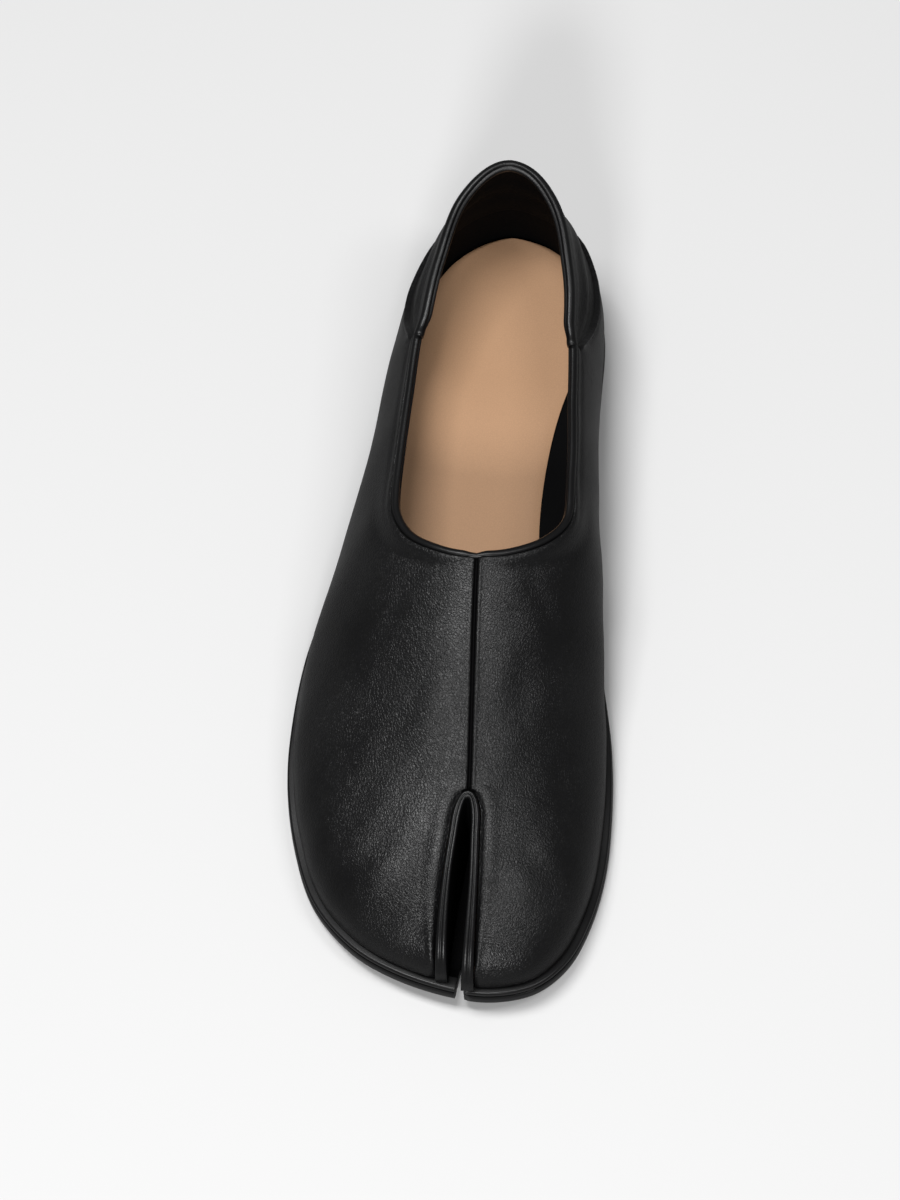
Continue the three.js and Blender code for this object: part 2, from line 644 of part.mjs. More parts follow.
// Rolled edges of the collar, set on the top of the wall
function rollAlong(columns, height, thickness) {
  const tops = columns.map(({ outer, inner }) => ({
    middle: outer.at(-1).clone().add(inner.at(-1)).multiplyScalar(0.5),
    across: outer.at(-1).clone().sub(inner.at(-1)).normalize(),
  }));
  const last = tops.length - 1;
  tops[0].middle.lerp(tops[1].middle, FIT / tops[0].middle.distanceTo(tops[1].middle));
  tops[last].middle.lerp(tops[last - 1].middle, FIT / tops[last].middle.distanceTo(tops[last - 1].middle));
  const rings = tops.map(({ middle, across }, i) => {
    const ahead = tops[Math.min(i + 1, last)].middle;
    const behind = tops[Math.max(i - 1, 0)].middle;
    const along = ahead.clone().sub(behind).normalize();
    const up = along.clone().cross(across).normalize();
    if (up.z < 0) up.negate();
    const centre = middle.clone().addScaledVector(up, FIT + height / 2);
    return Array.from({ length: ROLL_SIDES }, (_, k) => {
      const angle = ((k + 0.5) / ROLL_SIDES) * Math.PI * 2;
      return centre
        .clone()
        .addScaledVector(across, (Math.cos(angle) * thickness) / 2)
        .addScaledVector(up, (Math.sin(angle) * height) / 2);
    });
  });
  return tubeThrough(rings);
}
const onEdge = (half, name) => half.filter(({ edge }) => edge === name);
const throatColumn = onEdge(lateral, 'seam').at(-1);
const vampCollar = [
  ...onEdge(lateral, 'collar').reverse(),
  throatColumn,
  ...onEdge(medial, 'collar'),
];
const backCollar = [
  onEdge(lateral, 'collar').at(-1),
  ...onEdge(lateral, 'back'),
  ...onEdge(medial, 'back').slice(0, -1).reverse(),
  onEdge(medial, 'collar').at(-1),
];

// Toe gusset: a folded wall round the cleft, its rim standing proud of the vamp
function rimPoint({ outer, foot, side }, row) {
  const height = row / (outer.length - 1);
  const normal = outwardNormal(foot, side, height * cutShare(foot, side));
  const spot = outer[row].clone().addScaledVector(normal, GUSSET_PROUD);
  return { y: Math.min(spot.y, apexY), z: spot.z, side };
}
function gussetStations(half) {
  const cleft = onEdge(half, 'cleft');
  const front = cleft[0];
  const lastRow = front.outer.length - 1;
  const rising = [];
  for (let row = 1; row < lastRow; row += 1) {
    const spot = rimPoint(front, row);
    if (rising.length === 0 || spot.y > rising.at(-1).y + FIT) rising.push(spot);
  }
  const start = rising.at(-1).y + FIT;
  return [...rising, ...cleft.map((column) => rimPoint(column, lastRow)).filter(({ y }) => y > start)];
}

// Stations with more of them just ahead of the inner edge of the welt and just behind it
function withWeltEdge(stations, edgeY) {
  const added = [edgeY, edgeY + FIT].map((y) => {
    const next = Math.max(stations.findIndex((station) => station.y > y), 1);
    const [a, b] = [stations[next - 1], stations[next]];
    return { y, z: mix(a.z, b.z, clamp((y - a.y) / (b.y - a.y), 0, 1)), side: a.side };
  });
  return [...stations, ...added].sort((a, b) => a.y - b.y);
}
function gussetGeometry() {
  const innerEdge = [-1, 1].map((side) => {
    const foot = cornerFoot(side);
    return insetPoint(foot, side, insoleInset(foot) - FIT).y;
  });
  const edgeY = Math.max(...innerEdge) + FIT;
  const apex = onEdge(lateral, 'seam')[0];
  const stations = [
    ...withWeltEdge(gussetStations(lateral), edgeY),
    { ...rimPoint(apex, apex.outer.length - 1), y: apexY, side: 0 },
    ...withWeltEdge(gussetStations(medial), edgeY).reverse(),
  ];
  const frontY = Math.min(...stations.map(({ y }) => y));
  const plan = (y, side, inset) => {
    const share = (apexY - y) / (apexY - frontY);
    const at = mix(apexY - inset, frontY, share);
    const open = (CLEFT_WIDTH / 2) * cleftShare(yToAlong(at));
    const narrowed = cleftHalf(y) * ((open - inset) / open);
    return new THREE.Vector2(cleftMiddle(at) + side * narrowed, at);
  };
  const rings = stations.map(({ y, z, side }) => {
    const floor = y > edgeY ? insoleBottom(y) : wallFoot(y);
    const crest = Math.max(z, floor + GUSSET_PROUD);
    const shoulder = crest - GUSSET_PROUD / 2;
    const corners = [
      [FIT, floor],
      [FIT, shoulder],
      [FIT + GUSSET_WALL / 2, crest],
      [FIT + GUSSET_WALL, shoulder],
      [GUSSET_BASE, floor],
    ];
    return corners.map(([inset, height]) => {
      const spot = plan(y, side, inset);
      return new THREE.Vector3(spot.x, spot.y, height);
    });
  });
  return tubeThrough(rings);
}

// Solids cut from a plan and a side view
function toSolid(geometry) {
  const plain = geometry.clone();
  plain.deleteAttribute('normal');
  plain.deleteAttribute('uv');
  const merged = mergeVertices(plain, 1e-4);
  return new wasm.Manifold(
    new wasm.Mesh({
      numProp: 3,
      vertProperties: new Float32Array(merged.attributes.position.array),
      triVerts: new Uint32Array(merged.index.array),
    }),
  );
}
function toGeometry(solid) {
  const { vertProperties, triVerts, numProp } = solid.getMesh();
  const geometry = new THREE.BufferGeometry();
  const position = new Float32Array((vertProperties.length / numProp) * 3);
  for (let i = 0; i < position.length / 3; i += 1) {
    position.set(vertProperties.subarray(i * numProp, i * numProp + 3), i * 3);
  }
  geometry.setAttribute('position', new THREE.BufferAttribute(position, 3));
  geometry.setIndex(Array.from(triVerts));
  return geometry;
}
function planSolid(points, bottom, top) {
  const shape = new THREE.Shape(points.map(({ x, y }) => new THREE.Vector2(x, y)));
  const geometry = new THREE.ExtrudeGeometry(shape, { depth: top - bottom, bevelEnabled: false });
  return toSolid(geometry.translate(0, 0, bottom));
}
function slabSolid(bottom, top) {
  const from = alongToY(0) - MARGIN;
  const to = alongToY(1) + MARGIN;
  const stops = Array.from({ length: SLAB_STEPS + 1 }, (_, i) => mix(from, to, i / SLAB_STEPS));
  const under = stops.map((y) => new THREE.Vector2(y, bottom(y)));
  const over = stops.map((y) => new THREE.Vector2(y, top(y))).reverse();
  const shape = new THREE.Shape([...under, ...over]);
  const geometry = new THREE.ExtrudeGeometry(shape, { depth: BALL_WIDTH * 2, bevelEnabled: false });
  const turn = new THREE.Matrix4().makeBasis(
    new THREE.Vector3(0, 1, 0),
    new THREE.Vector3(0, 0, 1),
    new THREE.Vector3(1, 0, 0),
  );
  return toSolid(geometry.applyMatrix4(turn).translate(-BALL_WIDTH, 0, 0));
}
function outlineRing(inset) {
  const half = OUTLINE_STEPS / 2;
  const side = (sign) =>
    Array.from({ length: half }, (_, i) => {
      const foot = i / half;
      return insetPoint(foot, sign, inset(foot));
    });
  const heel = insetPoint(1, -1, inset(1));
  return [...side(-1), heel, ...side(1).slice(1).reverse()];
}
function notchSolid() {
  const start = alongToY(0);
  const mouth = [
    [-1.6, -MARGIN],
    [-1.6, 0],
    [-0.5, 0.16],
    [0, 1],
    [0.5, 0.16],
    [1.6, 0],
    [1.6, -MARGIN],
  ];
  const points = mouth.map(([across, depth]) => {
    const y = start + (depth < 0 ? depth : depth * NOTCH_LENGTH);
    return new THREE.Vector2(cleftMiddle(y) + NOTCH_SHIFT + across * NOTCH_WIDTH, y);
  });
  return planSolid(points, -MARGIN, TALL);
}
function cleftSolid() {
  const side = (sign) =>
    Array.from({ length: CLEFT_STEPS }, (_, i) => {
      const depth = (1 - Math.cos(((i + 1) / CLEFT_STEPS) * Math.PI * 0.5)) * CLEFT_LENGTH;
      const y = apexY - depth;
      return new THREE.Vector2(cleftMiddle(y) + sign * (cleftHalf(y) + 0.01), y);
    });
  const frontY = alongToY(0) - MARGIN;
  const front = [1, -1].map(
    (sign) => new THREE.Vector2(cleftMiddle(frontY) + (sign * CLEFT_WIDTH) / 2, frontY),
  );
  const points = [new THREE.Vector2(cleftMiddle(apexY), apexY), ...side(1), ...front, ...side(-1).reverse()];
  return planSolid(points, -MARGIN, TALL);
}
const sheet = (inset) => planSolid(outlineRing(inset), -MARGIN, TALL);
const insoleInset = (foot) => featherInset(foot) + WALL + 2 * FIT;

function outsoleSolid() {
  return sheet(() => 0).intersect(slabSolid(treadHeight, outsoleTop)).subtract(notchSolid());
}
function weltSolid() {
  const level = slabSolid((y) => outsoleTop(y) + FIT, weltTop);
  const strip = sheet(() => WELT_SETBACK).subtract(sheet((foot) => insoleInset(foot) - FIT));
  return strip.intersect(level).subtract(notchSolid());
}
function insoleSolid() {
  const level = slabSolid(insoleBottom, (y) => insoleBottom(y) + INSOLE_THICKNESS);
  return sheet(insoleInset).intersect(level).subtract(cleftSolid());
}

// Heel block with a slightly drawn-in foot and a straight breast
function heelGeometry() {
  const breast = alongToY(HEEL_BREAST);
  const ring = (inset, height) => {
    const points = outlineRing(() => inset).filter(({ y }) => y > breast + 1);
    const lateralEnd = new THREE.Vector3(points[0].x, breast, 0);
    const medialEnd = new THREE.Vector3(points.at(-1).x, breast, 0);
    const closed = [lateralEnd, ...points, medialEnd];
    return closed.map(({ x, y }) => new THREE.Vector3(x, y, height));
  };
  return [ring(HEEL_DRAW, 0), ring(HEEL_SETBACK, HEEL_LIFT - FIT)];
}
function stackRings(rings) {
  const triangles = [];
  const sides = rings[0].length;
  for (let i = 0; i + 1 < rings.length; i += 1) {
    for (let k = 0; k < sides; k += 1) {
      const next = (k + 1) % sides;
      addQuad(triangles, rings[i][k], rings[i][next], rings[i + 1][next], rings[i + 1][k]);
    }
  }
  [rings[0], rings.at(-1)].forEach((ring, end) => {
    const contour = ring.map(({ x, y }) => new THREE.Vector2(x, y));
    const clockwise = THREE.ShapeUtils.isClockWise(contour);
    THREE.ShapeUtils.triangulateShape(contour, []).forEach(([a, b, c]) => {
      const flip = clockwise === (end === 0);
      triangles.push(flip ? [ring[a], ring[b], ring[c]] : [ring[a], ring[c], ring[b]]);
    });
  });
  return meshFrom(facingOut(triangles));
}

// Materials
const finish = (color, roughness) =>
  new THREE.MeshStandardMaterial({ color, roughness, metalness: 0 });
const blackLeather = finish('#1c1b1d', 0.42);
const soleLeather = finish('#151516', 0.55);
const heelRubber = finish('#121212', 0.8);
const tanLeather = finish('#c39c7d', 0.6);

const model = new THREE.Group();
function addPiece(name, geometry, material) {
  const piece = new THREE.Mesh(geometry, material);
  piece.name = name;
  model.add(piece);
  return piece;
}
addPiece('outsole', toGeometry(outsoleSolid()), soleLeather);
addPiece('welt', toGeometry(weltSolid()), soleLeather);
addPiece('heel', stackRings(heelGeometry()), heelRubber);
addPiece('insole', toGeometry(insoleSolid()), tanLeather);
addPiece('upper', meshFrom(upperTriangles()), blackLeather);
addPiece('toe_gusset', gussetGeometry(), blackLeather);
addPiece('vamp_roll', rollAlong(vampCollar, VAMP_ROLL, WALL + ROLL_EXTRA.vamp), blackLeather);
addPiece('back_roll', rollAlong(backCollar, BACK_ROLL, WALL + ROLL_EXTRA.back), blackLeather);

// The origin is under the middle of the shoe, on the floor
const box = new THREE.Box3().setFromObject(model);
const middle = box.getCenter(new THREE.Vector3());
model.position.set(-middle.x, -middle.y, -box.min.z);
const loafer = new THREE.Group();
loafer.add(model);

export default loafer;
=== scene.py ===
"""Split-toe loafer for the right foot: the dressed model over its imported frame."""
import math

import bpy
import bmesh
import numpy as np
from mathutils import Matrix, Vector


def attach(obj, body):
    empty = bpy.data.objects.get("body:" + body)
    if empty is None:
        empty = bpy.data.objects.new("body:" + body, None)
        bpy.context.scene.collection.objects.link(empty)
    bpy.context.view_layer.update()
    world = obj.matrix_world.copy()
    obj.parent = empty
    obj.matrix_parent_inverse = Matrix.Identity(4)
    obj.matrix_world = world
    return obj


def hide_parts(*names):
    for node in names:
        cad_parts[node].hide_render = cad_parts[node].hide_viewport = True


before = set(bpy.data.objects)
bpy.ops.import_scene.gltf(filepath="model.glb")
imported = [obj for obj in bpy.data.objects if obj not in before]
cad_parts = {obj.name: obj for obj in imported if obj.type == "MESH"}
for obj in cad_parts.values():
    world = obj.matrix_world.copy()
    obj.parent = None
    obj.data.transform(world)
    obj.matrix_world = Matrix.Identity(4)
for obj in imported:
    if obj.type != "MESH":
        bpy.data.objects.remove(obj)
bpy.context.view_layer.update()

# Sizes in millimetres; the toe points to -Y and the big-toe side is +X
SHOE_LENGTH = 272.0
BALL_WIDTH = 105.0
INSTEP_HEIGHT = 52.0
BACK_HEIGHT = 50.0
HEEL_LIFT = 14.0
TOE_SPRING = 5.5
OUTSOLE_THICKNESS = 4.5
WELT_THICKNESS = 2.5
WALL = 2.0
INSOLE_THICKNESS = 4.0
FIT = 0.3
MIDDLE = (8.651, 0.061)  # from the shoe's own axis to the middle of its box

CLEFT_LENGTH = 57.5
CLEFT_WIDTH = 12.8
CLEFT_ROUNDING = 9.0
GUSSET_WALL = 2.6
GUSSET_BASE = 4.3
GUSSET_PROUD = 1.4
NOTCH_LENGTH = 13.0
NOTCH_WIDTH = 2.4
NOTCH_SHIFT = 1.4

VAMP_ROLL = 3.2
BACK_ROLL = 4.0
BACK_STEP = 1.1
STEP_FADE = 0.045
SEAM_FADE = 0.12
SEAM_CLEAR = 2.2
EDGE_FALL = 5.5
THROAT_EASE = 1.5
PLEAT_DEPTH = 1.3
PLEAT_COUNT = 2
PLEAT_ROOM = 16.0

BALL_FRONT = 0.205
BALL_BACK = 0.335
HEEL_BREAST = 0.78
JOINT = {-1: 0.775, 1: 0.77}  # lateral and medial side

# Outline of the sole: share of the length from the toe, share of the ball width
OUTLINE = (
    (0.0, 0.095),
    (0.004, -0.03),
    (0.024, -0.2),
    (0.054, -0.335),
    (0.11, -0.463),
    (0.185, -0.538),
    (0.265, -0.577),
    (0.335, -0.58),
    (0.42, -0.557),
    (0.5, -0.503),
    (0.6, -0.434),
    (0.7, -0.388),
    (0.8, -0.357),
    (0.88, -0.31),
    (0.95, -0.225),
    (0.99, -0.1),
    (1.0, 0.0),
    (0.985, 0.125),
    (0.94, 0.24),
    (0.87, 0.303),
    (0.78, 0.307),
    (0.68, 0.297),
    (0.58, 0.295),
    (0.49, 0.328),
    (0.41, 0.37),
    (0.33, 0.405),
    (0.25, 0.417),
    (0.17, 0.409),
    (0.102, 0.373),
    (0.049, 0.314),
    (0.014, 0.222),
)
# Ridge of the last: share of the length, across, share of the instep height
RIDGE = (
    (0.088, -0.005, 0.417),
    (0.132, -0.004, 0.51),
    (0.215, -0.002, 0.613),
    (0.298, -0.008, 0.729),
    (0.39, -0.015, 0.867),
    (0.474, -0.019, 0.975),
    (0.574, -0.02, 1.12),
    (0.684, -0.015, 1.27),
    (0.794, -0.008, 1.42),
    (0.915, 0.002, 1.54),
)
# Profiles: foot, top, splay in degrees, rise, reach, crest in degrees
LATERAL_PROFILES = (
    (0.0, 0.0, 80, 0.55, 0.55, 3),
    (0.12, 0.035, 80, 0.55, 0.55, 3),
    (0.25, 0.09, 80, 0.55, 0.5, 4),
    (0.33, 0.16, 80, 0.5, 0.45, 3),
    (0.38, 0.27, 80, 0.45, 0.42, 2.5),
    (0.45, 0.45, 79, 0.38, 0.38, 2),
    (0.52, 0.57, 74, 0.3, 0.36, 5),
    (0.61, 0.66, 68, 0.28, 0.32, 18),
    (0.7, 0.74, 68, 0.28, 0.3, 28),
    (0.78, 0.82, 73, 0.3, 0.32, 26),
    (0.85, 0.89, 77, 0.33, 0.48, 20),
    (0.92, 0.95, 80, 0.36, 0.64, 10),
    (1.0, 1.0, 81, 0.38, 0.7, 2),
)

MEDIAL_PROFILES = (
    (0.0, 0.0, 80, 0.55, 0.55, 3),
    (0.12, 0.035, 82, 0.58, 0.55, 3),
    (0.25, 0.09, 82, 0.58, 0.52, 4),
    (0.33, 0.16, 80, 0.52, 0.48, 3),
    (0.38, 0.27, 76, 0.48, 0.45, 2.5),
    (0.45, 0.45, 66, 0.48, 0.5, 2),
    (0.52, 0.57, 58, 0.45, 0.56, 5),
    (0.61, 0.66, 54, 0.38, 0.5, 18),
    (0.7, 0.74, 62, 0.34, 0.4, 28),
    (0.78, 0.82, 71, 0.32, 0.36, 26),
    (0.85, 0.89, 77, 0.33, 0.48, 20),
    (0.92, 0.95, 80, 0.36, 0.64, 10),
    (1.0, 1.0, 81, 0.38, 0.7, 2),
)
# Collar line: share of the length, lateral and medial share of the back height
COLLAR = (
    (0.44, 1.05, 1.05),
    (0.474, 0.975, 0.98),
    (0.5, 0.875, 0.89),
    (0.537, 0.78, 0.79),
    (0.574, 0.72, 0.74),
    (0.63, 0.66, 0.68),
    (0.7, 0.62, 0.635),
    (0.776, 0.635, 0.645),
    (0.83, 0.7, 0.705),
    (0.886, 0.812, 0.815),
    (0.934, 0.92, 0.92),
    (0.978, 0.994, 0.994),
    (1.0, 1.0, 1.0),
)
# Seam of the back quarter: share of the length, share of the back height
BACK_SEAM = (
    (0.74, 0.56),
    (0.775, 0.52),
    (0.82, 0.42),
    (0.88, 0.37),
    (1.0, 0.35),
)
# Feather line: foot, inset from the edge of the sole
FEATHER = (
    (0.0, 2.4),
    (0.3, 2.5),
    (0.45, 1.9),
    (0.6, 1.2),
    (1.0, 1.2),
)
# Cleft: share of the length, its middle and its spread
CLEFT_MIDDLE = (
    (0.0, -0.0155),
    (0.06, -0.015),
    (0.12, -0.011),
    (0.215, -0.002),
)

CLEFT_SPREAD = (
    (0.0, 1.0),
    (0.06, 0.98),
    (0.12, 0.88),
    (0.17, 0.75),
    (0.215, 0.68),
)

COLLAR_LEAN = (
    # along the foot, how far the collar's edge leans in, mm
    (0.0, 0.0), (0.3, 0.0), (0.54, 0.0), (0.62, 1.5), (0.7, 2.3), (0.8, 2.5), (0.88, 2.1),
    (0.95, 0.8), (1.0, 0.0),
)
MM = 0.001


def smooth(t):
    s = np.clip(t, 0.0, 1.0)
    return s * s * (3 - 2 * s)


def hump(distance, width):
    return np.exp(-((distance / width) ** 2))


def along_to_y(along):
    return (along - 0.5) * SHOE_LENGTH


def y_to_along(y):
    return y / SHOE_LENGTH + 0.5


def table_curve(rows, column, level=False):
    """Smooth curve through the rows of a table, as a function of its first column."""
    table = np.array(rows, float)
    x, y = table[:, 0], table[:, column]
    chord = np.diff(y) / np.diff(x)
    slope = np.zeros_like(x)
    before, after = np.diff(x)[:-1], np.diff(x)[1:]
    slope[1:-1] = (chord[:-1] * after + chord[1:] * before) / (before + after)
    if not level:
        slope[0], slope[-1] = chord[0], chord[-1]

    def value(at):
        at = np.clip(at, x[0], x[-1])
        i = np.clip(np.searchsorted(x, at, side="right") - 1, 0, len(x) - 2)
        h = x[i + 1] - x[i]
        t = (at - x[i]) / h
        ends = y[i] * (2 * t**3 - 3 * t**2 + 1) + y[i + 1] * (3 * t**2 - 2 * t**3)
        return ends + h * (slope[i] * (t**3 - 2 * t**2 + t) + slope[i + 1] * (t**3 - t**2))

    return value


class SmoothLine:
    """Centripetal curve through points, read by its share of length."""

    def __init__(self, points, closed=False, steps=120):
        points = np.array(points, float)
        if closed:
            points = np.vstack([points[-1], points, points[0], points[1]])
        else:
            first = 2 * points[0] - points[1]
            last = 2 * points[-1] - points[-2]
            points = np.vstack([first, points, last])
        t = np.linspace(0, 1, steps, endpoint=False)[:, None]
        parts = []
        for a, b, c, d in zip(points, points[1:], points[2:], points[3:]):
            d0, d1, d2 = (np.sqrt(np.linalg.norm(q - p)) for p, q in ((a, b), (b, c), (c, d)))
            m1 = ((b - a) / d0 - (c - a) / (d0 + d1) + (c - b) / d1) * d1
            m2 = ((c - b) / d1 - (d - b) / (d1 + d2) + (d - c) / d2) * d1
            parts.append(b + t * m1 + t**2 * (-3 * b + 3 * c - 2 * m1 - m2)
                         + t**3 * (2 * b - 2 * c + m1 + m2))
        self.points = np.vstack([*parts, points[-2]])
        steps_long = np.linalg.norm(np.diff(self.points, axis=0), axis=1)
        self.share = np.concatenate([[0], np.cumsum(steps_long)]) / steps_long.sum()
        self.closed = closed

    def at(self, share):
        share = np.mod(share, 1.0) if self.closed else np.clip(share, 0, 1)
        return np.stack([np.interp(share, self.share, self.points[:, k]) for k in range(3)], -1)

    def tangent(self, share, step=8e-4):
        ahead, behind = share + step, share - step
        if not self.closed:
            ahead, behind = np.clip(ahead, 0, 1), np.clip(behind, 0, 1)
        along = self.at(ahead) - self.at(behind)
        return along / np.linalg.norm(along, axis=-1, keepdims=True)


# Sole: heights of its layers along the shoe
def tread_height(y):
    along = y_to_along(np.asarray(y, float))
    toe = TOE_SPRING * np.clip((BALL_FRONT - along) / BALL_FRONT, 0, None) ** 1.8
    return toe + HEEL_LIFT * smooth((along - BALL_BACK) / (HEEL_BREAST - BALL_BACK))


def outsole_top(y):
    return tread_height(y) + OUTSOLE_THICKNESS


def wall_foot(y):
    return outsole_top(y) + WELT_THICKNESS + 2 * FIT


outline = SmoothLine([(x * BALL_WIDTH, along_to_y(a), 0) for a, x in OUTLINE], closed=True)
cleft_across = table_curve(CLEFT_MIDDLE, 1)
cleft_spread = table_curve(CLEFT_SPREAD, 1)
APEX_Y = along_to_y(0) + CLEFT_LENGTH


def cleft_middle(y):
    return cleft_across(y_to_along(y)) * BALL_WIDTH


def cleft_half(y):
    depth = np.clip(APEX_Y - y, 0, None)
    rounding = np.sqrt(1 - (1 - np.clip(depth / CLEFT_ROUNDING, 0, 1)) ** 2)
    return CLEFT_WIDTH / 2 * cleft_spread(y_to_along(y)) * rounding


def nearest_share(point, low, high):
    shares = np.linspace(low, high, 4001)
    return shares[np.argmin(np.linalg.norm(outline.at(shares) - np.array(point), axis=1))]


HEEL_SHARE = nearest_share((0, along_to_y(1), 0), 0.3, 0.7)
TOE_SHARE = nearest_share((cleft_middle(along_to_y(0)), along_to_y(0), 0), 0, 0.06)


def inset_point(foot, side, inset):
    """Point of the outline moved inwards; foot runs from 0 at the toe to 1 at the heel."""
    start = TOE_SHARE if side < 0 else TOE_SHARE + 1
    share = start + (HEEL_SHARE - start) * foot
    tangent = outline.tangent(share)
    point = outline.at(share)
    inset = np.asarray(inset)[..., None] if np.ndim(inset) else inset
    inward = np.stack([tangent[..., 1], -tangent[..., 0], 0 * tangent[..., 0]], -1)
    return point + inward * inset


# Last: profiles from the feather line up to the ridge
feather_inset = table_curve(FEATHER, 1)
ridge = SmoothLine([(x * BALL_WIDTH, along_to_y(a), wall_foot(along_to_y(a)) + h * INSTEP_HEIGHT)
                    for a, x, h in RIDGE])
profile_tables = {
    side: [table_curve(rows, k, level=True) for k in range(1, 6)]
    for side, rows in ((-1, LATERAL_PROFILES), (1, MEDIAL_PROFILES))
}


def profile(foot, side):
    """Four control points of each profile."""
    top, splay, rise, reach, crest = (curve(foot) for curve in profile_tables[side])
    start = inset_point(foot, side, feather_inset(foot))
    start[..., 2] = wall_foot(start[..., 1])
    outward = start - inset_point(foot, side, feather_inset(foot) + 1)
    outward[..., 2] = 0
    outward /= np.linalg.norm(outward, axis=-1, keepdims=True)
    end = ridge.at(top)
    along = ridge.tangent(top)
    lift = (end[..., 2] - start[..., 2]) * rise
    first = start + outward * (lift / np.tan(np.radians(splay)))[..., None]
    first[..., 2] += lift
    plan = start - end
    plan[..., 2] = 0
    distance = np.linalg.norm(plan, axis=-1)
    plan /= distance[..., None]
    level = np.hypot(along[..., 0], along[..., 1])
    forward = (plan[..., 0] * along[..., 0] + plan[..., 1] * along[..., 1]) / level
    sideways = np.sqrt(np.clip(1 - forward**2, 0, None))
    plan[..., 2] = along[..., 2] / level * forward - np.tan(np.radians(crest)) * sideways
    second = end + plan * (distance * reach)[..., None]
    return start, first, second, end


def on_profile(controls, share):
    """Points on profiles (n, 4 controls) at shares (n, m)."""
    t = share[..., None]
    a, b, c, d = (p[:, None, :] for p in controls)
    s = 1 - t
    return a * s**3 + b * 3 * s**2 * t + c * 3 * s * t**2 + d * t**3


collar_shares = {-1: table_curve(COLLAR, 1), 1: table_curve(COLLAR, 2)}
back_seam = table_curve(BACK_SEAM, 1)


def collar_height(y, side):
    return wall_foot(y) + collar_shares[side](y_to_along(y)) * BACK_HEIGHT


def seam_height(y):
    return wall_foot(y) + back_seam(y_to_along(y)) * BACK_HEIGHT


def rear_edge(y, side):
    """Rear edge of the vamp: it leaves the collar at the joint and drops to the seam."""
    behind = np.clip(y - along_to_y(JOINT[side]), 0, None)
    fall = np.exp(-behind / EDGE_FALL)
    return seam_height(y) * (1 - fall) + (collar_height(y, side) - 0.6) * fall


def past_joint(y, side, fade):
    return smooth((y_to_along(y) - JOINT[side] + fade) / fade)


def cut_away(p, side):
    x, y, z = p[..., 0], p[..., 1], p[..., 2]
    in_cleft = (y < APEX_Y) & (np.abs(x - cleft_middle(y)) < cleft_half(y))
    return in_cleft | (z > collar_height(y, side))


def cut_share(foot, side):
    """Share of each profile at which the cleft or the collar cuts it off."""
    controls = profile(foot, side)
    shares = np.broadcast_to(np.arange(80) / 80, (len(foot), 80))
    gone = cut_away(on_profile(controls, shares), side)
    gone[:, 0] = False
    first = np.where(gone.any(1), gone.argmax(1), 80)
    high = first / 80.0
    low = (first - 1) / 80.0
    for _ in range(22):
        middle = (low + high) / 2
        over = cut_away(on_profile(controls, middle[:, None])[:, 0], side)
        high, low = np.where(over, middle, high), np.where(over, low, middle)
    return np.where(first == 80, 1.0, low)


def turning_point(test, low, high):
    for _ in range(30):
        middle = (low + high) / 2
        low, high = (middle, high) if test(middle) else (low, middle)
    return low


def top_of(side, foot):
    return float(profile_tables[side][0](np.array(foot)))


def foot_at_top(top, side):
    return turning_point(lambda foot: top_of(side, foot) < top, 0, 1)


def ridge_is_whole(share):
    point = ridge.at(share)
    return point[1] < APEX_Y or point[2] <= collar_height(point[1], 1)


APEX_TOP = turning_point(lambda share: ridge.at(share)[1] < APEX_Y, 0, 1)
THROAT_TOP = turning_point(ridge_is_whole, APEX_TOP, 1)


collar_lean = table_curve(COLLAR_LEAN, 1)


def collar_point(foot, side):
    feet = np.array([foot])
    return on_profile(profile(feet, side), cut_share(feet, side)[:, None])[0, 0]


def even_feet(low, high, side, steps):
    """Foot shares spread evenly along the foot and the top edge together."""
    feet = np.linspace(low, high, 241)
    controls = profile(feet, side)
    tops = on_profile(controls, cut_share(feet, side)[:, None])[:, 0]
    travelled = np.concatenate([[0], np.cumsum(
        np.linalg.norm(np.diff(tops, axis=0), axis=1)
        + 0.5 * np.linalg.norm(np.diff(controls[0], axis=0), axis=1))])
    return np.interp(np.linspace(0, travelled[-1], steps + 1), travelled, feet)


def corner_foot(side):
    def blocked(foot):
        point = inset_point(np.array([foot]), side, float(feather_inset(foot)))[0]
        return abs(point[0] - cleft_middle(point[1])) < cleft_half(point[1]) + FIT
    return turning_point(blocked, 0, 0.2)


def joint_foot(side):
    return turning_point(
        lambda foot: y_to_along(collar_point(foot, side)[1]) < JOINT[side],
        foot_at_top(THROAT_TOP, side), 1)


COLUMNS = {"cleft": 54, "seam": 56, "collar": 76, "back": 72}


def half_columns(side):
    """Foot shares of one half's columns with the kind of edge that each has."""
    corner = corner_foot(side) + 0.004
    apex, throat = (foot_at_top(top, side) for top in (APEX_TOP, THROAT_TOP))
    joint = joint_foot(side)
    seam_tops = np.linspace(APEX_TOP, THROAT_TOP, COLUMNS["seam"] + 1)
    feet = [
        even_feet(corner, apex, side, COLUMNS["cleft"])[:-1],
        np.array([foot_at_top(top, side) for top in seam_tops]),
        even_feet(throat, joint, side, COLUMNS["collar"])[1:],
        even_feet(joint, 1, side, COLUMNS["back"])[1:],
    ]
    edges = np.concatenate([[k] * len(part) for k, part in enumerate(feet)])
    return np.concatenate(feet), edges


def side_normal(foot, side, share, step=0.003):
    ahead, behind = np.clip(foot + step, 0, 1), np.clip(foot - step, 0, 1)
    up, down = np.clip(share + step, 0, 1), np.clip(share - step, 0, 1)
    across = on_profile(profile(ahead, side), share) - on_profile(profile(behind, side), share)
    here = profile(foot, side)
    rising = on_profile(here, up) - on_profile(here, down)
    normal = np.cross(across, rising) * side
    return normal / np.linalg.norm(normal, axis=-1, keepdims=True)


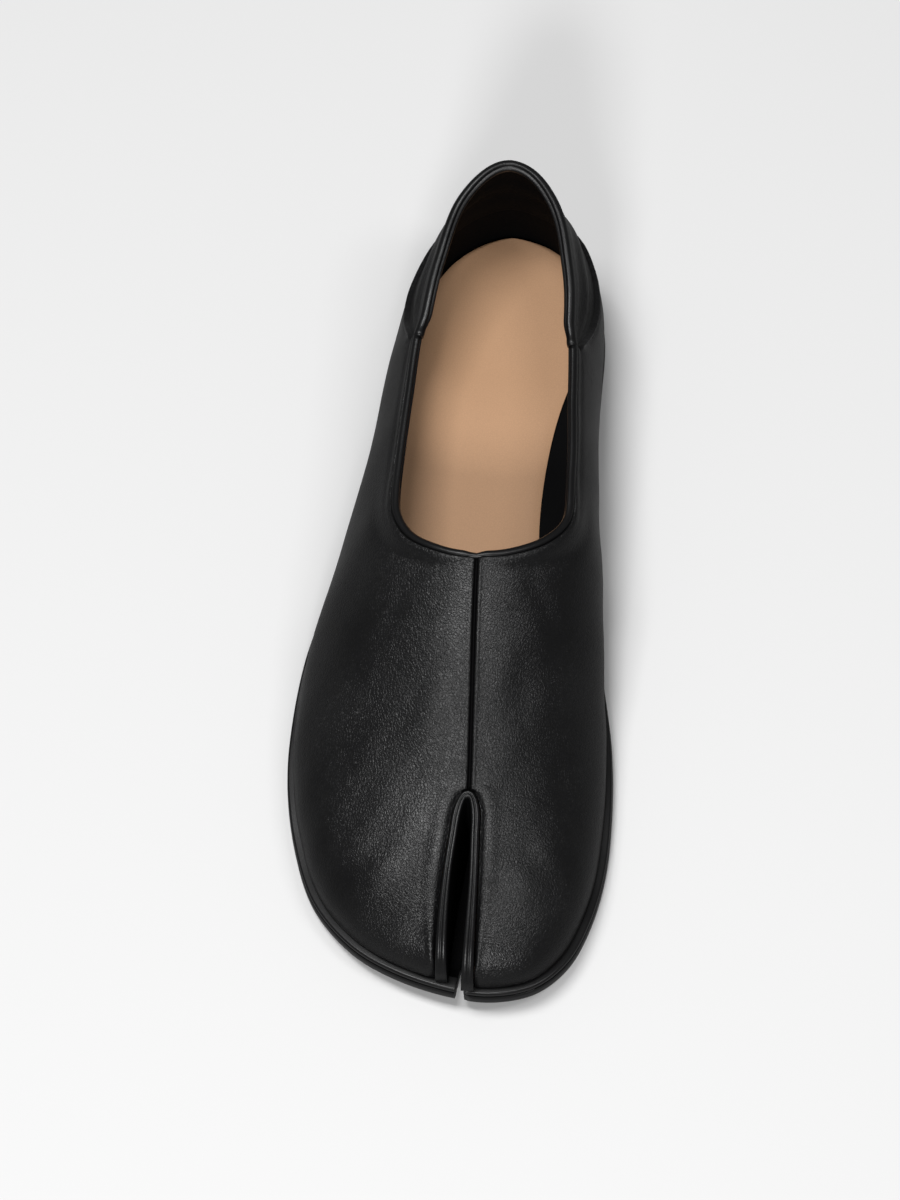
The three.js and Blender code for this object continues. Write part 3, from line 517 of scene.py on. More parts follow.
# Columns and rows of the upper
TOP_ROWS = (9.0, 7.4, 6.0, 4.8, 3.8, 3.0, 2.4, 1.9, 1.45, 1.05, 0.7, 0.35, 0.0)
SEAM_ROWS = (-3.4, -2.4, -1.7, -1.1, -0.6, -0.2, 0.2, 0.6, 1.2)
LOW_ROWS = 11
HIGH_ROWS = 11


class Half:
    """One half of the upper as a grid of columns and rows on the last."""

    def __init__(self, side):
        self.side = side
        self.foot, self.edge = half_columns(side)
        foot = self.foot
        controls = profile(foot, side)
        cut = cut_share(foot, side)
        cut[self.edge == 1] = 1.0
        spread = np.linspace(0, 1, 121)[None] * cut[:, None]
        spots = on_profile(controls, spread)
        steps = np.linalg.norm(np.diff(spots, axis=1), axis=2)
        length = np.concatenate([np.zeros((len(foot), 1)), np.cumsum(steps, 1)], 1)
        total = length[:, -1]
        over = spots[..., 2] > rear_edge(spots[..., 1], side)
        above = np.where(over.any(1), over.argmax(1), 120)
        spare = total - length[np.arange(len(foot)), above] - SEAM_CLEAR
        clear = SEAM_CLEAR + (spare + np.hypot(spare, SEAM_CLEAR / 2)) / 2
        near = past_joint(spots[:, -1, 1], side, SEAM_FADE)
        seam = total * 0.5 * (1 - near) + (total - clear) * near
        tight = np.minimum(1.0, total / 26)
        rows = []
        for k in range(len(foot)):
            squeeze = min(tight[k], (total[k] - seam[k]) / 9)
            seam_rows = seam[k] + np.array(SEAM_ROWS) * squeeze
            reach = min(TOP_ROWS[0] * tight[k], (total[k] - seam_rows[-1]) * 0.8)
            top_rows = total[k] - np.array(TOP_ROWS) * reach / TOP_ROWS[0]
            low = np.linspace(0, seam_rows[0], LOW_ROWS, endpoint=False)
            high = np.linspace(seam_rows[-1], top_rows[0], HIGH_ROWS + 1)[1:-1]
            rows.append(np.concatenate([low, seam_rows, high, top_rows]))
        self.marks = np.array(rows)
        self.share = np.stack([np.interp(m, n, s) for m, n, s in zip(self.marks, length, spread)])
        self.from_top = total[:, None] - self.marks
        self.from_seam = self.marks - seam[:, None]
        self.base = on_profile(controls, self.share)
        on_ridge = self.edge == 1
        seam_tops = np.linspace(APEX_TOP, THROAT_TOP, COLUMNS["seam"] + 1)
        self.base[on_ridge, -1] = ridge.at(seam_tops)
        normal = np.stack([side_normal(foot, side, self.share[:, k:k + 1])[:, 0]
                           for k in range(self.share.shape[1])], 1)
        other = np.array([foot_at_top(top_of(side, f), -side) if e == 1 else f
                          for f, e in zip(foot, self.edge)])
        ends = side_normal(other[on_ridge], -side, np.ones((on_ridge.sum(), 1)))[:, 0]
        normal[on_ridge, -1] += ends
        normal[on_ridge, -1, 0] *= 0.5
        normal[-1] += side_normal(foot[-1:], -side, self.share[-1:])[0]
        self.normal = normal / np.linalg.norm(normal, axis=-1, keepdims=True)
        throat = ridge.at(THROAT_TOP)
        away = np.linalg.norm(self.base - throat, axis=-1)
        self.base[..., 1] += THROAT_EASE * hump(away, 8.0)
        y, z = self.base[..., 1], self.base[..., 2]
        rise = np.clip((z / collar_height(y, side) - 0.4) / 0.6, 0, 1)
        along = y_to_along(y)
        lean = np.where(along > 0.54, np.clip(collar_lean(along), 0, None), 0)
        self.base[..., 0] -= side * lean * rise ** 1.5


# Folds and hollows of the soft leather, in the shoe's own millimetres
# along and across the shoe, length, width, turn in degrees, depth (a ridge is negative)
CREASES = (
    (-20.0, -26.0, 34.0, 7.0, 62.0, 0.55),
    (-20.0, 21.0, 26.0, 6.0, -58.0, 0.5),
    (-52.0, -13.0, 40.0, 11.0, 84.0, -0.5),
    (-48.0, 15.0, 34.0, 9.0, -86.0, 0.4),
    (-88.0, -38.0, 26.0, 9.0, 58.0, 0.35),
    (-98.0, 22.0, 20.0, 8.0, -50.0, 0.3),
    (-104.0, -27.0, 16.0, 9.0, 40.0, -0.45),
    (-106.0, 19.0, 15.0, 9.0, -30.0, -0.4),
    (-74.0, 30.0, 26.0, 7.0, -70.0, 0.3),
)


def crease_relief(point):
    relief = np.zeros(point.shape[:-1])
    for along, across, length, width, turn, depth in CREASES:
        c, s = math.cos(math.radians(turn)), math.sin(math.radians(turn))
        x, y = point[..., 0] - across, point[..., 1] - along
        relief -= depth * hump(c * x + s * y, length / 2) * hump(c * y - s * x, width / 2)
    return relief


def unevenness(point):
    """Slow waves of hand-lasted leather, a few tenths of a millimetre."""
    x, y, z = (point[..., k] for k in range(3))
    waves = np.sin(x * 0.19 + 1.3 * np.sin(y * 0.071)) * np.sin(y * 0.11 + 0.09 * z)
    return 0.13 * waves + 0.07 * np.sin(x * 0.41 - y * 0.23 + 0.8)


def relief_of(half):
    """Height of the leather over the last along its normal."""
    side, p, d, e = half.side, half.base, half.from_top, half.from_seam
    on = [(half.edge == k)[:, None] for k in range(4)]
    total = np.zeros(d.shape)
    throat = smooth((p[:, -1:, 1] + 8) / 40)
    seam_lip = (0.3 if side > 0 else 0.08) * hump(d - 1.35, 0.55)
    total += on[1] * (seam_lip - 1.5 * hump(d, 0.55))
    total += on[0] * (0.3 * hump(d - 3.8, 1.7) - 1.25 * hump(d, 1.15))
    aside = smooth(np.abs(p[:, -1:, 0] - ridge.at(THROAT_TOP)[0]) / 20)
    roll = (0.8 + 0.45 * aside) * hump(d - 1.6, 3.2) - 0.6 * aside * hump(d - 8.4, 2.8)
    total += on[2] * (roll * (1 - throat) + throat * (0.3 * hump(d - 0.6, 1.1)
                                                      - 0.3 * hump(d - 2.8, 1.0)))
    strength = smooth((p[..., 1] - along_to_y(JOINT[side])) / 2.0)
    edge_z = rear_edge(p[..., 1], side)
    room = np.clip(collar_height(p[..., 1], side) - edge_z, 1, None)
    level = np.clip((p[..., 2] - edge_z) / room, 0, 1)
    swell = np.sin(level * np.pi)
    wander = 0.5 * np.sin(p[..., 1] * 0.09 + side)
    fold = 1 + np.sin(level * np.pi * 2 * PLEAT_COUNT + wander) * swell
    depth = PLEAT_DEPTH / 2 * smooth(room / PLEAT_ROOM)
    behind = (e > 0) * strength
    total -= behind * (BACK_STEP + depth * fold * swell)
    lip = 0.5 * hump(e + 0.7, 0.6) - 0.4 * hump(e + 2.3, 0.45)
    total += strength * (e <= 0) * lip
    faded = 1 - np.maximum(on[1] * hump(d, 2.5), hump(half.marks, 2.0))
    return total + faded * (crease_relief(p) + unevenness(p))


halves = {side: Half(side) for side in (-1, 1)}
for half in halves.values():
    relief = relief_of(half)
    half.outer = half.base + half.normal * relief[..., None]
    soft = relief * smooth((half.from_seam + 0.5) / 1.0) * (half.edge == 3)[:, None]
    half.inner = half.base + half.normal * (soft - WALL)[..., None]
    feet = half.foot
    half.inner[:, 0] = inset_point(feet, half.side, feather_inset(feet) + WALL)
    half.inner[:, 0, 2] = half.base[:, 0, 2]
    cleft = half.edge == 0
    limit = cleft_middle(half.inner[..., 1]) + half.side * (cleft_half(half.inner[..., 1]) + 0.02)
    over = (half.side * (half.inner[..., 0] - limit) < 0) & cleft[:, None]
    over[:, 0] = False
    half.inner[..., 0] = np.where(over, limit, half.inner[..., 0])
    for wall in (half.outer, half.inner):
        y = wall[0, :, 1]
        wall[0, :, 0] = cleft_middle(y) + half.side * (cleft_half(y) + 0.02)


# Building meshes
def shift(points):
    """From millimetres on the shoe's own axis to metres in the frame."""
    return (np.asarray(points) + np.array([*MIDDLE, 0])) * MM


def make_piece(name, points, faces, materials, slots=None, merge=None, flat=False):
    mesh = bpy.data.meshes.new(name)
    mesh.from_pydata([tuple(p) for p in shift(points)], [], faces)
    for material in materials:
        mesh.materials.append(material)
    if slots is not None:
        mesh.polygons.foreach_set("material_index", slots)
    piece = bpy.data.objects.new(name, mesh)
    bpy.context.scene.collection.objects.link(piece)
    work = bmesh.new()
    work.from_mesh(mesh)
    if merge:
        bmesh.ops.remove_doubles(work, verts=work.verts, dist=merge * MM)
    bmesh.ops.recalc_face_normals(work, faces=work.faces)
    work.to_mesh(mesh)
    work.free()
    mesh.polygons.foreach_set("use_smooth", [not flat] * len(mesh.polygons))
    return piece


def sweep(rings, closed=False):
    """Points and faces of a tube through rings; open ends are capped."""
    rings = np.asarray(rings)
    count, sides = rings.shape[:2]
    faces = []
    for i in range(count if closed else count - 1):
        j = (i + 1) % count
        for k in range(sides):
            m = (k + 1) % sides
            faces.append((i * sides + k, i * sides + m, j * sides + m, j * sides + k))
    if not closed:
        faces.append(tuple(range(sides)))
        faces.append(tuple(range((count - 1) * sides, count * sides))[::-1])
    return rings.reshape(-1, 3), faces


def node(tree, kind, inputs=None, **settings):
    """Adds a node with its settings; an input is a value or another node's output."""
    made = tree.nodes.new(kind)
    for key, value in settings.items():
        setattr(made, key, value)
    for key, value in (inputs or {}).items():
        if isinstance(value, bpy.types.NodeSocket):
            tree.links.new(value, made.inputs[key])
        else:
            made.inputs[key].default_value = value
    return made


def linear(code):
    """sRGB hex code as a linear colour."""
    parts = [int(code[i:i + 2], 16) / 255 for i in (1, 3, 5)]
    return [c / 12.92 if c <= 0.04045 else ((c + 0.055) / 1.055) ** 2.4 for c in parts] + [1.0]


def leather(name, dark, light, rough, grain_mm, depth_mm, coat=0.0, gloss=0.5, wrinkle_shade=0.72):
    """Leather with pebbles of grain_mm between fine wrinkles depth_mm deep; the wrinkles are painted
    darker, as shade.
    """
    material = bpy.data.materials.new(name)
    material.use_nodes = True
    tree = material.node_tree
    tree.nodes.clear()
    place = node(tree, "ShaderNodeTexCoord").outputs["Object"]
    bend = node(tree, "ShaderNodeTexNoise", {"Vector": place, "Scale": 260.0, "Detail": 2.0})
    pushed = node(tree, "ShaderNodeMixRGB", {"Fac": 0.0014, "Color1": place,
                                             "Color2": bend.outputs["Color"]}, blend_type="ADD")
    cells = node(tree, "ShaderNodeTexVoronoi", {"Vector": pushed.outputs[0],
                                                "Scale": 1000.0 / grain_mm},
                 feature="DISTANCE_TO_EDGE")
    pebble = node(tree, "ShaderNodeMapRange", {"Value": cells.outputs["Distance"],
                                               "From Max": 0.22}, interpolation_type="SMOOTHSTEP")
    fine = node(tree, "ShaderNodeTexNoise", {"Vector": place, "Scale": 1000.0 / grain_mm,
                                             "Detail": 2.5, "Roughness": 0.55,
                                             "Distortion": 0.8})
    patch = node(tree, "ShaderNodeTexNoise", {"Vector": place, "Scale": 34.0, "Detail": 3.0})
    soft = node(tree, "ShaderNodeMath", {0: pebble.outputs["Result"], 1: 0.45},
                operation="MULTIPLY")
    height = node(tree, "ShaderNodeMath", {0: fine.outputs["Fac"], 1: 1.3,
                                           2: soft.outputs[0]}, operation="MULTIPLY_ADD")
    worn = node(tree, "ShaderNodeMapRange", {"Value": patch.outputs["Fac"], "From Min": 0.3,
                                             "From Max": 0.7, "To Min": 0.35, "To Max": 1.0})
    raised = node(tree, "ShaderNodeMath", {0: height.outputs[0], 1: worn.outputs["Result"]},
                  operation="MULTIPLY")
    bump = node(tree, "ShaderNodeBump", {"Height": raised.outputs[0], "Strength": 1.0,
                                         "Distance": depth_mm * MM})
    tone = node(tree, "ShaderNodeMixRGB", {"Fac": patch.outputs["Fac"], "Color1": linear(dark),
                                           "Color2": linear(light)})
    # Painted shade: the colour is darkened along the wrinkles between the pebbles, where the bump
    # sinks
    wrinkle_shade_factor = node(tree, "ShaderNodeMapRange", {"Value": pebble.outputs["Result"],
                                               "To Min": wrinkle_shade, "To Max": 1.0})
    shade = node(tree, "ShaderNodeMixRGB", {"Fac": 1.0, "Color1": tone.outputs[0],
                                            "Color2": wrinkle_shade_factor.outputs["Result"]},
                 blend_type="MULTIPLY")
    gleam = node(tree, "ShaderNodeMapRange", {"Value": patch.outputs["Fac"], "From Min": 0.3,
                                              "From Max": 0.7, "To Min": rough - 0.05,
                                              "To Max": rough + 0.06})
    surface = node(tree, "ShaderNodeBsdfPrincipled", {
        "Base Color": shade.outputs[0], "Roughness": gleam.outputs["Result"],
        "Normal": bump.outputs["Normal"], "Specular IOR Level": gloss, "IOR": 1.5,
        "Coat Weight": coat, "Coat Roughness": 0.3})
    node(tree, "ShaderNodeOutputMaterial", {"Surface": surface.outputs[0]})
    return material


# Nappa calf, drum-dyed black: fine pebbled grain with a low even gloss
NAPPA = leather("black_nappa_calf", "#0a0a0b", "#0f0f10", 0.34, 0.9, 0.16, gloss=0.4)
# The same calf skived thin and turned over a cord: its grain is drawn flat
TURNED = leather("turned_nappa_edge", "#0b0b0c", "#101011", 0.34, 0.8, 0.03, gloss=0.35)
# Lining kid, black: smoother and duller than the outside; it also serves as painted shade in the
# seam's groove, on the cleft's inner walls and on the cleft floor
LINING_AND_SHADE = leather("black_lining_kid_and_painted_shade", "#050506", "#080809", 0.7, 0.8, 0.03, gloss=0.06)
# Sole edge, inked and waxed: near smooth with a soft line of light
EDGE = leather("waxed_sole_edge", "#0b0b0c", "#111112", 0.32, 0.6, 0.01, gloss=0.4)
# Outsole leather, stained black: matt, fine pores
TREAD = leather("stained_sole_leather", "#151515", "#1c1c1c", 0.66, 0.6, 0.03, gloss=0.35)
# Heel rubber, moulded: matt with very fine grit
RUBBER = leather("moulded_heel_rubber", "#121212", "#171717", 0.78, 0.7, 0.02, gloss=0.3)
# Vegetable-tanned sock leather: pale tan, faint mottling and faint painted shade in its wrinkles, no
# gloss
SOCK = leather("tan_sock_leather", "#bb926f", "#c49b79", 0.62, 0.7, 0.008, gloss=0.3, wrinkle_shade=0.94)
# Waxed polyester thread, black: round and slightly glossy
THREAD = leather("black_waxed_thread", "#202021", "#2b2b2c", 0.4, 0.3, 0.01)


# Upper: outside, lining and the narrow cut edges between them
def upper_piece():
    lateral, medial = halves[-1], halves[1]
    outer = np.concatenate([lateral.outer, medial.outer[-2::-1]])
    inner = np.concatenate([lateral.inner, medial.inner[-2::-1]])
    edge = np.concatenate([lateral.edge, medial.edge[-2::-1]])
    columns, rows = outer.shape[:2]
    seam_shade_rows = rows - 3
    points = np.concatenate([outer.reshape(-1, 3), inner.reshape(-1, 3)])
    inside = columns * rows
    faces, slots = [], []
    for i in range(columns - 1):
        a, b = i * rows, (i + 1) * rows
        for k in range(rows - 1):
            faces.append((a + k, b + k, b + k + 1, a + k + 1))
            # Painted shade: the faces at the bottom of the seam's groove take the darker, duller
            # lining leather
            slots.append(int(edge[i] == 1 and edge[i + 1] == 1 and k >= seam_shade_rows))
            faces.append((inside + a + k, inside + a + k + 1, inside + b + k + 1, inside + b + k))
            slots.append(1)
        faces.append((a, inside + a, inside + b, b))
        slots.append(1)
        if not (edge[i] == 1 and edge[i + 1] == 1):
            t = rows - 1
            faces.append((a + t, b + t, inside + b + t, inside + a + t))
            slots.append(0)
    for i in (0, columns - 1):
        a = i * rows
        for k in range(rows - 1):
            faces.append((a + k, a + k + 1, inside + a + k + 1, inside + a + k))
            slots.append(0)
    return make_piece("leather_upper", points, faces, [NAPPA, LINING_AND_SHADE], slots, merge=0.004)


# Rolled edges of the collar: a full bead outside and a thin one inside, with a groove between
def roll_rings(tops, across, height, thickness, groove, sides=26):
    tops = np.array(tops)
    ahead = np.vstack([tops[1:], tops[-1:]])
    behind = np.vstack([tops[:1], tops[:-1]])
    along = ahead - behind
    along /= np.linalg.norm(along, axis=1, keepdims=True)
    up = np.cross(along, across)
    up /= np.linalg.norm(up, axis=1, keepdims=True)
    up[up[:, 2] < 0] *= -1
    angle = (np.arange(sides) + 0.5) / sides * 2 * np.pi
    split = groove[:, None] * hump(angle[None] - math.radians(118), 0.3)
    reach = 1 - split
    centre = tops + up * (height[:, None] / 2 - 0.5)
    wide = reach * np.cos(angle) * thickness[:, None] / 2
    tall = reach * np.sin(angle) * height[:, None] / 2
    return (centre[:, None] + across[:, None] * wide[..., None] + up[:, None] * tall[..., None])


def edge_points(half, kinds):
    chosen = np.isin(half.edge, kinds)
    outer, inner = half.base[chosen, -1], half.base[chosen, -1] - half.normal[chosen, -1] * WALL
    across = half.normal[chosen, -1]
    return (outer + inner) / 2, across


def settle(values, rounds=2):
    """Evens out a row of vectors along the collar."""
    for _ in range(rounds):
        values[1:-1] = (values[:-2] + 2 * values[1:-1] + values[2:]) / 4
    return values


def collar_rolls():
    made = []
    left, right = (edge_points(halves[side], [2]) for side in (-1, 1))
    lateral = halves[-1]
    throat = np.flatnonzero(lateral.edge == 1)[-1]
    middle = lateral.base[throat, -1] - lateral.normal[throat, -1] * WALL / 2
    tops = np.vstack([left[0][::-1], middle[None], right[0]])
    across = np.vstack([left[1][::-1], lateral.normal[throat, -1][None], right[1]])
    across = settle(across, 6)
    across /= np.linalg.norm(across, axis=1, keepdims=True)
    tops[0] -= (tops[1] - tops[0]) * 0.15
    tops[-1] -= (tops[-2] - tops[-1]) * 0.15
    near = np.abs(np.arange(len(tops)) - len(left[0]))
    fade = smooth((near - 10) / 34)
    slit = hump(near, 1.1)
    thick = (WALL + 1.0) * (1 - 0.3 * slit)
    tall = VAMP_ROLL * (0.86 + 0.14 * fade) * (1 - 0.3 * slit)
    rings = roll_rings(tops - across * (0.35 * (1 - fade))[:, None], across, tall, thick,
                       0.45 * fade, 26)
    made.append(("vamp_collar", "vamp_roll", rings))
    left, right = (edge_points(halves[side], [3]) for side in (-1, 1))
    starts = [edge_points(halves[side], [2]) for side in (-1, 1)]
    tops = np.vstack([starts[0][0][-1:], left[0], right[0][-2::-1], starts[1][0][-1:]])
    across = np.vstack([starts[0][1][-1:], left[1], right[1][-2::-1], starts[1][1][-1:]])
    across = settle(across, 6)
    across /= np.linalg.norm(across, axis=1, keepdims=True)
    gone = np.concatenate([[0], np.cumsum(np.linalg.norm(np.diff(tops, axis=0), axis=1))])
    from_end = np.minimum(gone, gone[-1] - gone)
    grown = smooth(from_end / 9.0)
    tops = tops - across * (0.2 + BACK_STEP * grown)[:, None]
    tall = VAMP_ROLL + (BACK_ROLL - VAMP_ROLL) * grown + 0.5 * hump(from_end - 1.2, 1.2)
    thick = WALL + 1.0 + 0.8 * grown + 0.5 * hump(from_end - 1.2, 1.2)
    rings = roll_rings(tops, across, tall, thick, 0.42 * grown, 30)
    made.append(("back_collar", "back_roll", rings))
    pieces = []
    for name, replaced, rings in made:
        points, faces = sweep(rings)
        piece = make_piece(name, points, faces, [TURNED])
        pieces.append((piece, replaced))
    return pieces


# Toe gusset: a folded wall round the cleft with two fine ridges on its rim
def gusset_piece():
    stations = []
    for side in (-1, 1):
        half = halves[side]
        cleft = np.flatnonzero(half.edge == 0)
        rim = half.base + half.normal * GUSSET_PROUD
        front = rim[0, 2:-1:2]
        keep = [front[0]]
        for spot in front[1:]:
            if spot[1] > keep[-1][1] + 0.15:
                keep.append(spot)
        top = [spot for spot in rim[cleft, -1] if spot[1] > keep[-1][1] + 0.1]
        rise = np.array(keep + top)
        stations.append(np.column_stack([np.minimum(rise[:, 1], APEX_Y - 0.01), rise[:, 2],
                                         np.full(len(rise), side)]))
    apex_z = ridge.at(APEX_TOP)[2] + GUSSET_PROUD * 0.9
    path = np.vstack([stations[0], [[APEX_Y, apex_z, 0]], stations[1][::-1]])
    y, z, side = path.T
    front_y = y.min()
    share = (APEX_Y - y) / (APEX_Y - front_y)
    widen = smooth((share - 0.35) / 0.65)
    rings = []
    for depth, drop in ((FIT, None), (FIT, 2.4), (FIT, 1.5), (0.38, 0.8), (0.62, 0.3), (0.95, 0.12),
                        (1.25, 0.3), (1.42, 0.55), (1.58, 0.3), (1.9, 0.02), (2.3, 0.08),
                        (2.65, 0.45), (2.85, 1.1), (2.95, 2.2), (3.05, 5.0), (GUSSET_BASE, None)):
        inset = depth * (1 + 0.42 * widen) if 0.5 < depth < 3.2 else np.full(len(y), depth)
        at = (APEX_Y - inset) * (1 - share) + front_y * share
        opened = CLEFT_WIDTH / 2 * cleft_spread(y_to_along(at))
        narrowed = cleft_half(y) * (opened - inset) / opened
        floor = np.where(y > along_to_y(0) + 6.2, outsole_top(y) + FIT, wall_foot(y))
        height = floor if drop is None else np.maximum(z - drop, floor + 0.6 - 0.1 * drop)
        rings.append(np.column_stack([cleft_middle(at) + side * narrowed, at, height]))
    rings = np.stack(rings, 1)
    points, faces = sweep(rings)
    sides = rings.shape[1]
    # Painted shade: the lower walls down in the cleft take the darker, duller lining leather
    slots = [int(all(corner % sides >= 12 for corner in face)) for face in faces]
    return make_piece("cleft_gusset", points, faces, [TURNED, LINING_AND_SHADE], slots)


# Sole: layers swept round the outline
def outline_ring(count=520):
    half = count // 2
    feet = np.arange(half) / half
    return [(-1, feet), (-1, np.array([1.0])), (1, feet[1:][::-1])]


def ring_at(inset, count=520):
    return np.vstack([inset_point(f, s, inset(f) if callable(inset) else inset)
                      for s, f in outline_ring(count)])


def layer(name, section, base, materials, capped, cut=True):
    """Layer of the sole: section is a list of (inset, height) from its foot round to its top."""
    rings = []
    for inset, height in section:
        ring = ring_at(inset)
        ring[:, 2] = base(ring[:, 1]) + height
        rings.append(ring)
    rings = np.stack(rings, 1)
    count, sides = rings.shape[:2]
    faces = []
    for i in range(count):
        j = (i + 1) % count
        for k in range(sides if not capped else sides - 1):
            m = (k + 1) % sides
            faces.append((i * sides + k, j * sides + k, j * sides + m, i * sides + m))
    if capped:
        half = count // 2
        for k in (0, sides - 1):
            for i in range(half):
                a, b = i, i + 1
                c, d = (count - i) % count, (count - i - 1) % count
                quad = [a, b, d, c]
                quad = [q * sides + k for q in dict.fromkeys(quad)]
                if len(quad) > 2:
                    faces.append(tuple(quad))
    piece = make_piece(name, rings.reshape(-1, 3), faces, materials)
    if cut:
        cut_notch(piece)
    return piece


def notch_tool():
    start = along_to_y(0)
    mouth = ((-1.6, -6), (-1.6, 0), (-0.62, 0.08), (-0.5, 0.2), (-0.22, 0.62), (0, 1),
             (0.22, 0.62), (0.5, 0.2), (0.62, 0.08), (1.6, 0), (1.6, -6))
    plan = []
    for across, depth in mouth:
        y = start + (depth if depth < 0 else depth * NOTCH_LENGTH)
        plan.append((float(cleft_middle(y)) + NOTCH_SHIFT + across * NOTCH_WIDTH, y))
    rings = np.array([[(x, y, z) for x, y in plan] for z in (-5, 40)])
    points, faces = sweep(rings)
    return make_piece("notch_tool", points, faces, [EDGE], flat=True)


def cut_notch(piece):
    tool = notch_tool()
    modifier = piece.modifiers.new("notch", "BOOLEAN")
    modifier.operation, modifier.solver, modifier.object = "DIFFERENCE", "EXACT", tool
    result = bpy.data.meshes.new_from_object(
        piece.evaluated_get(bpy.context.evaluated_depsgraph_get()))
    piece.modifiers.clear()
    if len(result.polygons) > 100:
        piece.data = result
    bpy.data.objects.remove(tool)


def sharpen(piece, degrees=38):
    """Keeps the crisp edges of a piece whose faces are otherwise smooth."""
    piece.data.set_sharp_from_angle(angle=math.radians(degrees))


def sole_pieces():
    def strip_inset(foot):
        return feather_inset(foot) + WALL + FIT

    welt = layer("welt_ledge", [
        (strip_inset, 0.0), (0.75, 0.0), (0.45, 0.2), (0.32, 0.6), (0.25, 1.2), (0.25, 1.7),
        (0.34, 2.1), (0.6, 2.4), (0.95, WELT_THICKNESS), (strip_inset, WELT_THICKNESS)],
        lambda y: outsole_top(y) + FIT, [EDGE], False)
    outsole = layer("leather_outsole", [
        (4.6, 0.0), (4.2, 0.45), (3.8, 0.45), (3.4, 0.0), (0.9, 0.0), (0.35, 0.2), (0.08, 0.7),
        (0.0, 1.6), (0.0, 3.1), (0.1, 3.8), (0.35, 4.3), (0.9, OUTSOLE_THICKNESS)],
        tread_height, [EDGE, TREAD, LINING_AND_SHADE], True)
    # Painted shade: the outsole's top, seen only down the cleft, takes the darker lining leather; its
    # first 4.5 mm at the toe keep the edge finish
    cleft_shade_start = (along_to_y(0) + 4.5) * MM
    for face in outsole.data.polygons:
        if face.normal.z < -0.6:
            face.material_index = 1
        elif face.normal.z > 0.8 and len(face.vertices) > 3:
            face.material_index = 2 if face.center.y > cleft_shade_start else 0
    for piece in (welt, outsole):
        sharpen(piece)
    return welt, outsole


def heel_piece():
    """Stacked heel block: two leather lifts over a rubber top piece."""
    breast = along_to_y(HEEL_BREAST)
    ring = [p for p in ring_at(0.0, 360) if p[1] > breast + 0.8]
    ring = np.array(ring)
    feet = ring.copy()
    centre = np.array([-1.0, (breast + along_to_y(1)) / 2])
    rows = ((1.95, 0.0), (1.8, 0.3), (1.6, 3.9), (1.9, 4.15), (1.6, 4.4), (1.15, 8.7),
            (1.42, 8.95), (1.1, 9.2), (0.6, 13.2), (0.75, HEEL_LIFT - FIT))
    rings = []
    for inset, height in rows:
        out = feet[:, :2] - centre
        out = out / np.linalg.norm(out, axis=1, keepdims=True)
        plan = feet[:, :2] - out * inset
        ends = np.array([[plan[0, 0], breast + 0.1 * inset], [plan[-1, 0], breast + 0.1 * inset]])
        plan = np.vstack([ends[:1], plan, ends[1:]])
        rings.append(np.column_stack([plan, np.full(len(plan), height)]))
    points, faces = sweep(np.array(rings))
    piece = make_piece("heel_block", points, faces, [EDGE, RUBBER])
    for face in piece.data.polygons:
        if face.center.z < 4.0 * MM:
            face.material_index = 1
    sharpen(piece, 30)
    return piece


# Insole: black board, and on it the tan sock with its own arch edge
ARCH_EDGE = (
    # along the foot on the medial side, extra inset in mm
    (0.0, 0.0), (0.3, 0.0), (0.4, 4.0), (0.5, 10.5), (0.6, 12.0), (0.68, 11.0), (0.75, 7.5),
    (0.8, 2.5), (0.83, 0.3), (1.0, 0.0),
)
arch_inset = table_curve(ARCH_EDGE, 1)


def insole_piece(name, bottom, top, inset, medial_extra, material, slump):
    half = 200
    feet = np.linspace(0, 1, half + 1)
    sides = {}
    for side in (-1, 1):
        extra = medial_extra(feet) if side > 0 and medial_extra else 0.0
        sides[side] = (feather_inset(feet) + WALL + 2 * FIT + inset + extra)
    across = 28
    grids = []
    for drop in (0, 1):
        left = inset_point(feet, -1, sides[-1])
        right = inset_point(feet, 1, sides[1])
        t = np.linspace(0, 1, across + 1)
        grid = left[:, None] * (1 - t)[None, :, None] + right[:, None] * t[None, :, None]
        height = bottom if drop == 0 else top
        rim = np.minimum(t, 1 - t) * np.linalg.norm(left - right, axis=1)[:, None]
        dish = slump * (1 - smooth(rim / 12)) * smooth((feet[:, None] - 0.5) / 0.3)
        edge = 0.5 * hump(rim, 0.9) if drop else 0
        grid[..., 2] = outsole_top(grid[..., 1]) + height + (dish - edge if drop else 0)
        grids.append(grid)
    points = np.concatenate([g.reshape(-1, 3) for g in grids])
    wide = across + 1
    offset = len(feet) * wide
    faces = []
    for i in range(half):
        for k in range(across):
            a, b = i * wide + k, (i + 1) * wide + k
            faces.append((a, a + 1, b + 1, b))
            faces.append((offset + a, offset + b, offset + b + 1, offset + a + 1))
        for k in (0, across):
            a, b = i * wide + k, (i + 1) * wide + k
            faces.append((a, b, offset + b, offset + a))
    for k in range(across):
        for i in (0, half):
            a = i * wide + k
            faces.append((a, a + 1, offset + a + 1, offset + a))
    piece = make_piece(name, points, faces, [material], merge=0.01)
    sharpen(piece, 50)
    return piece


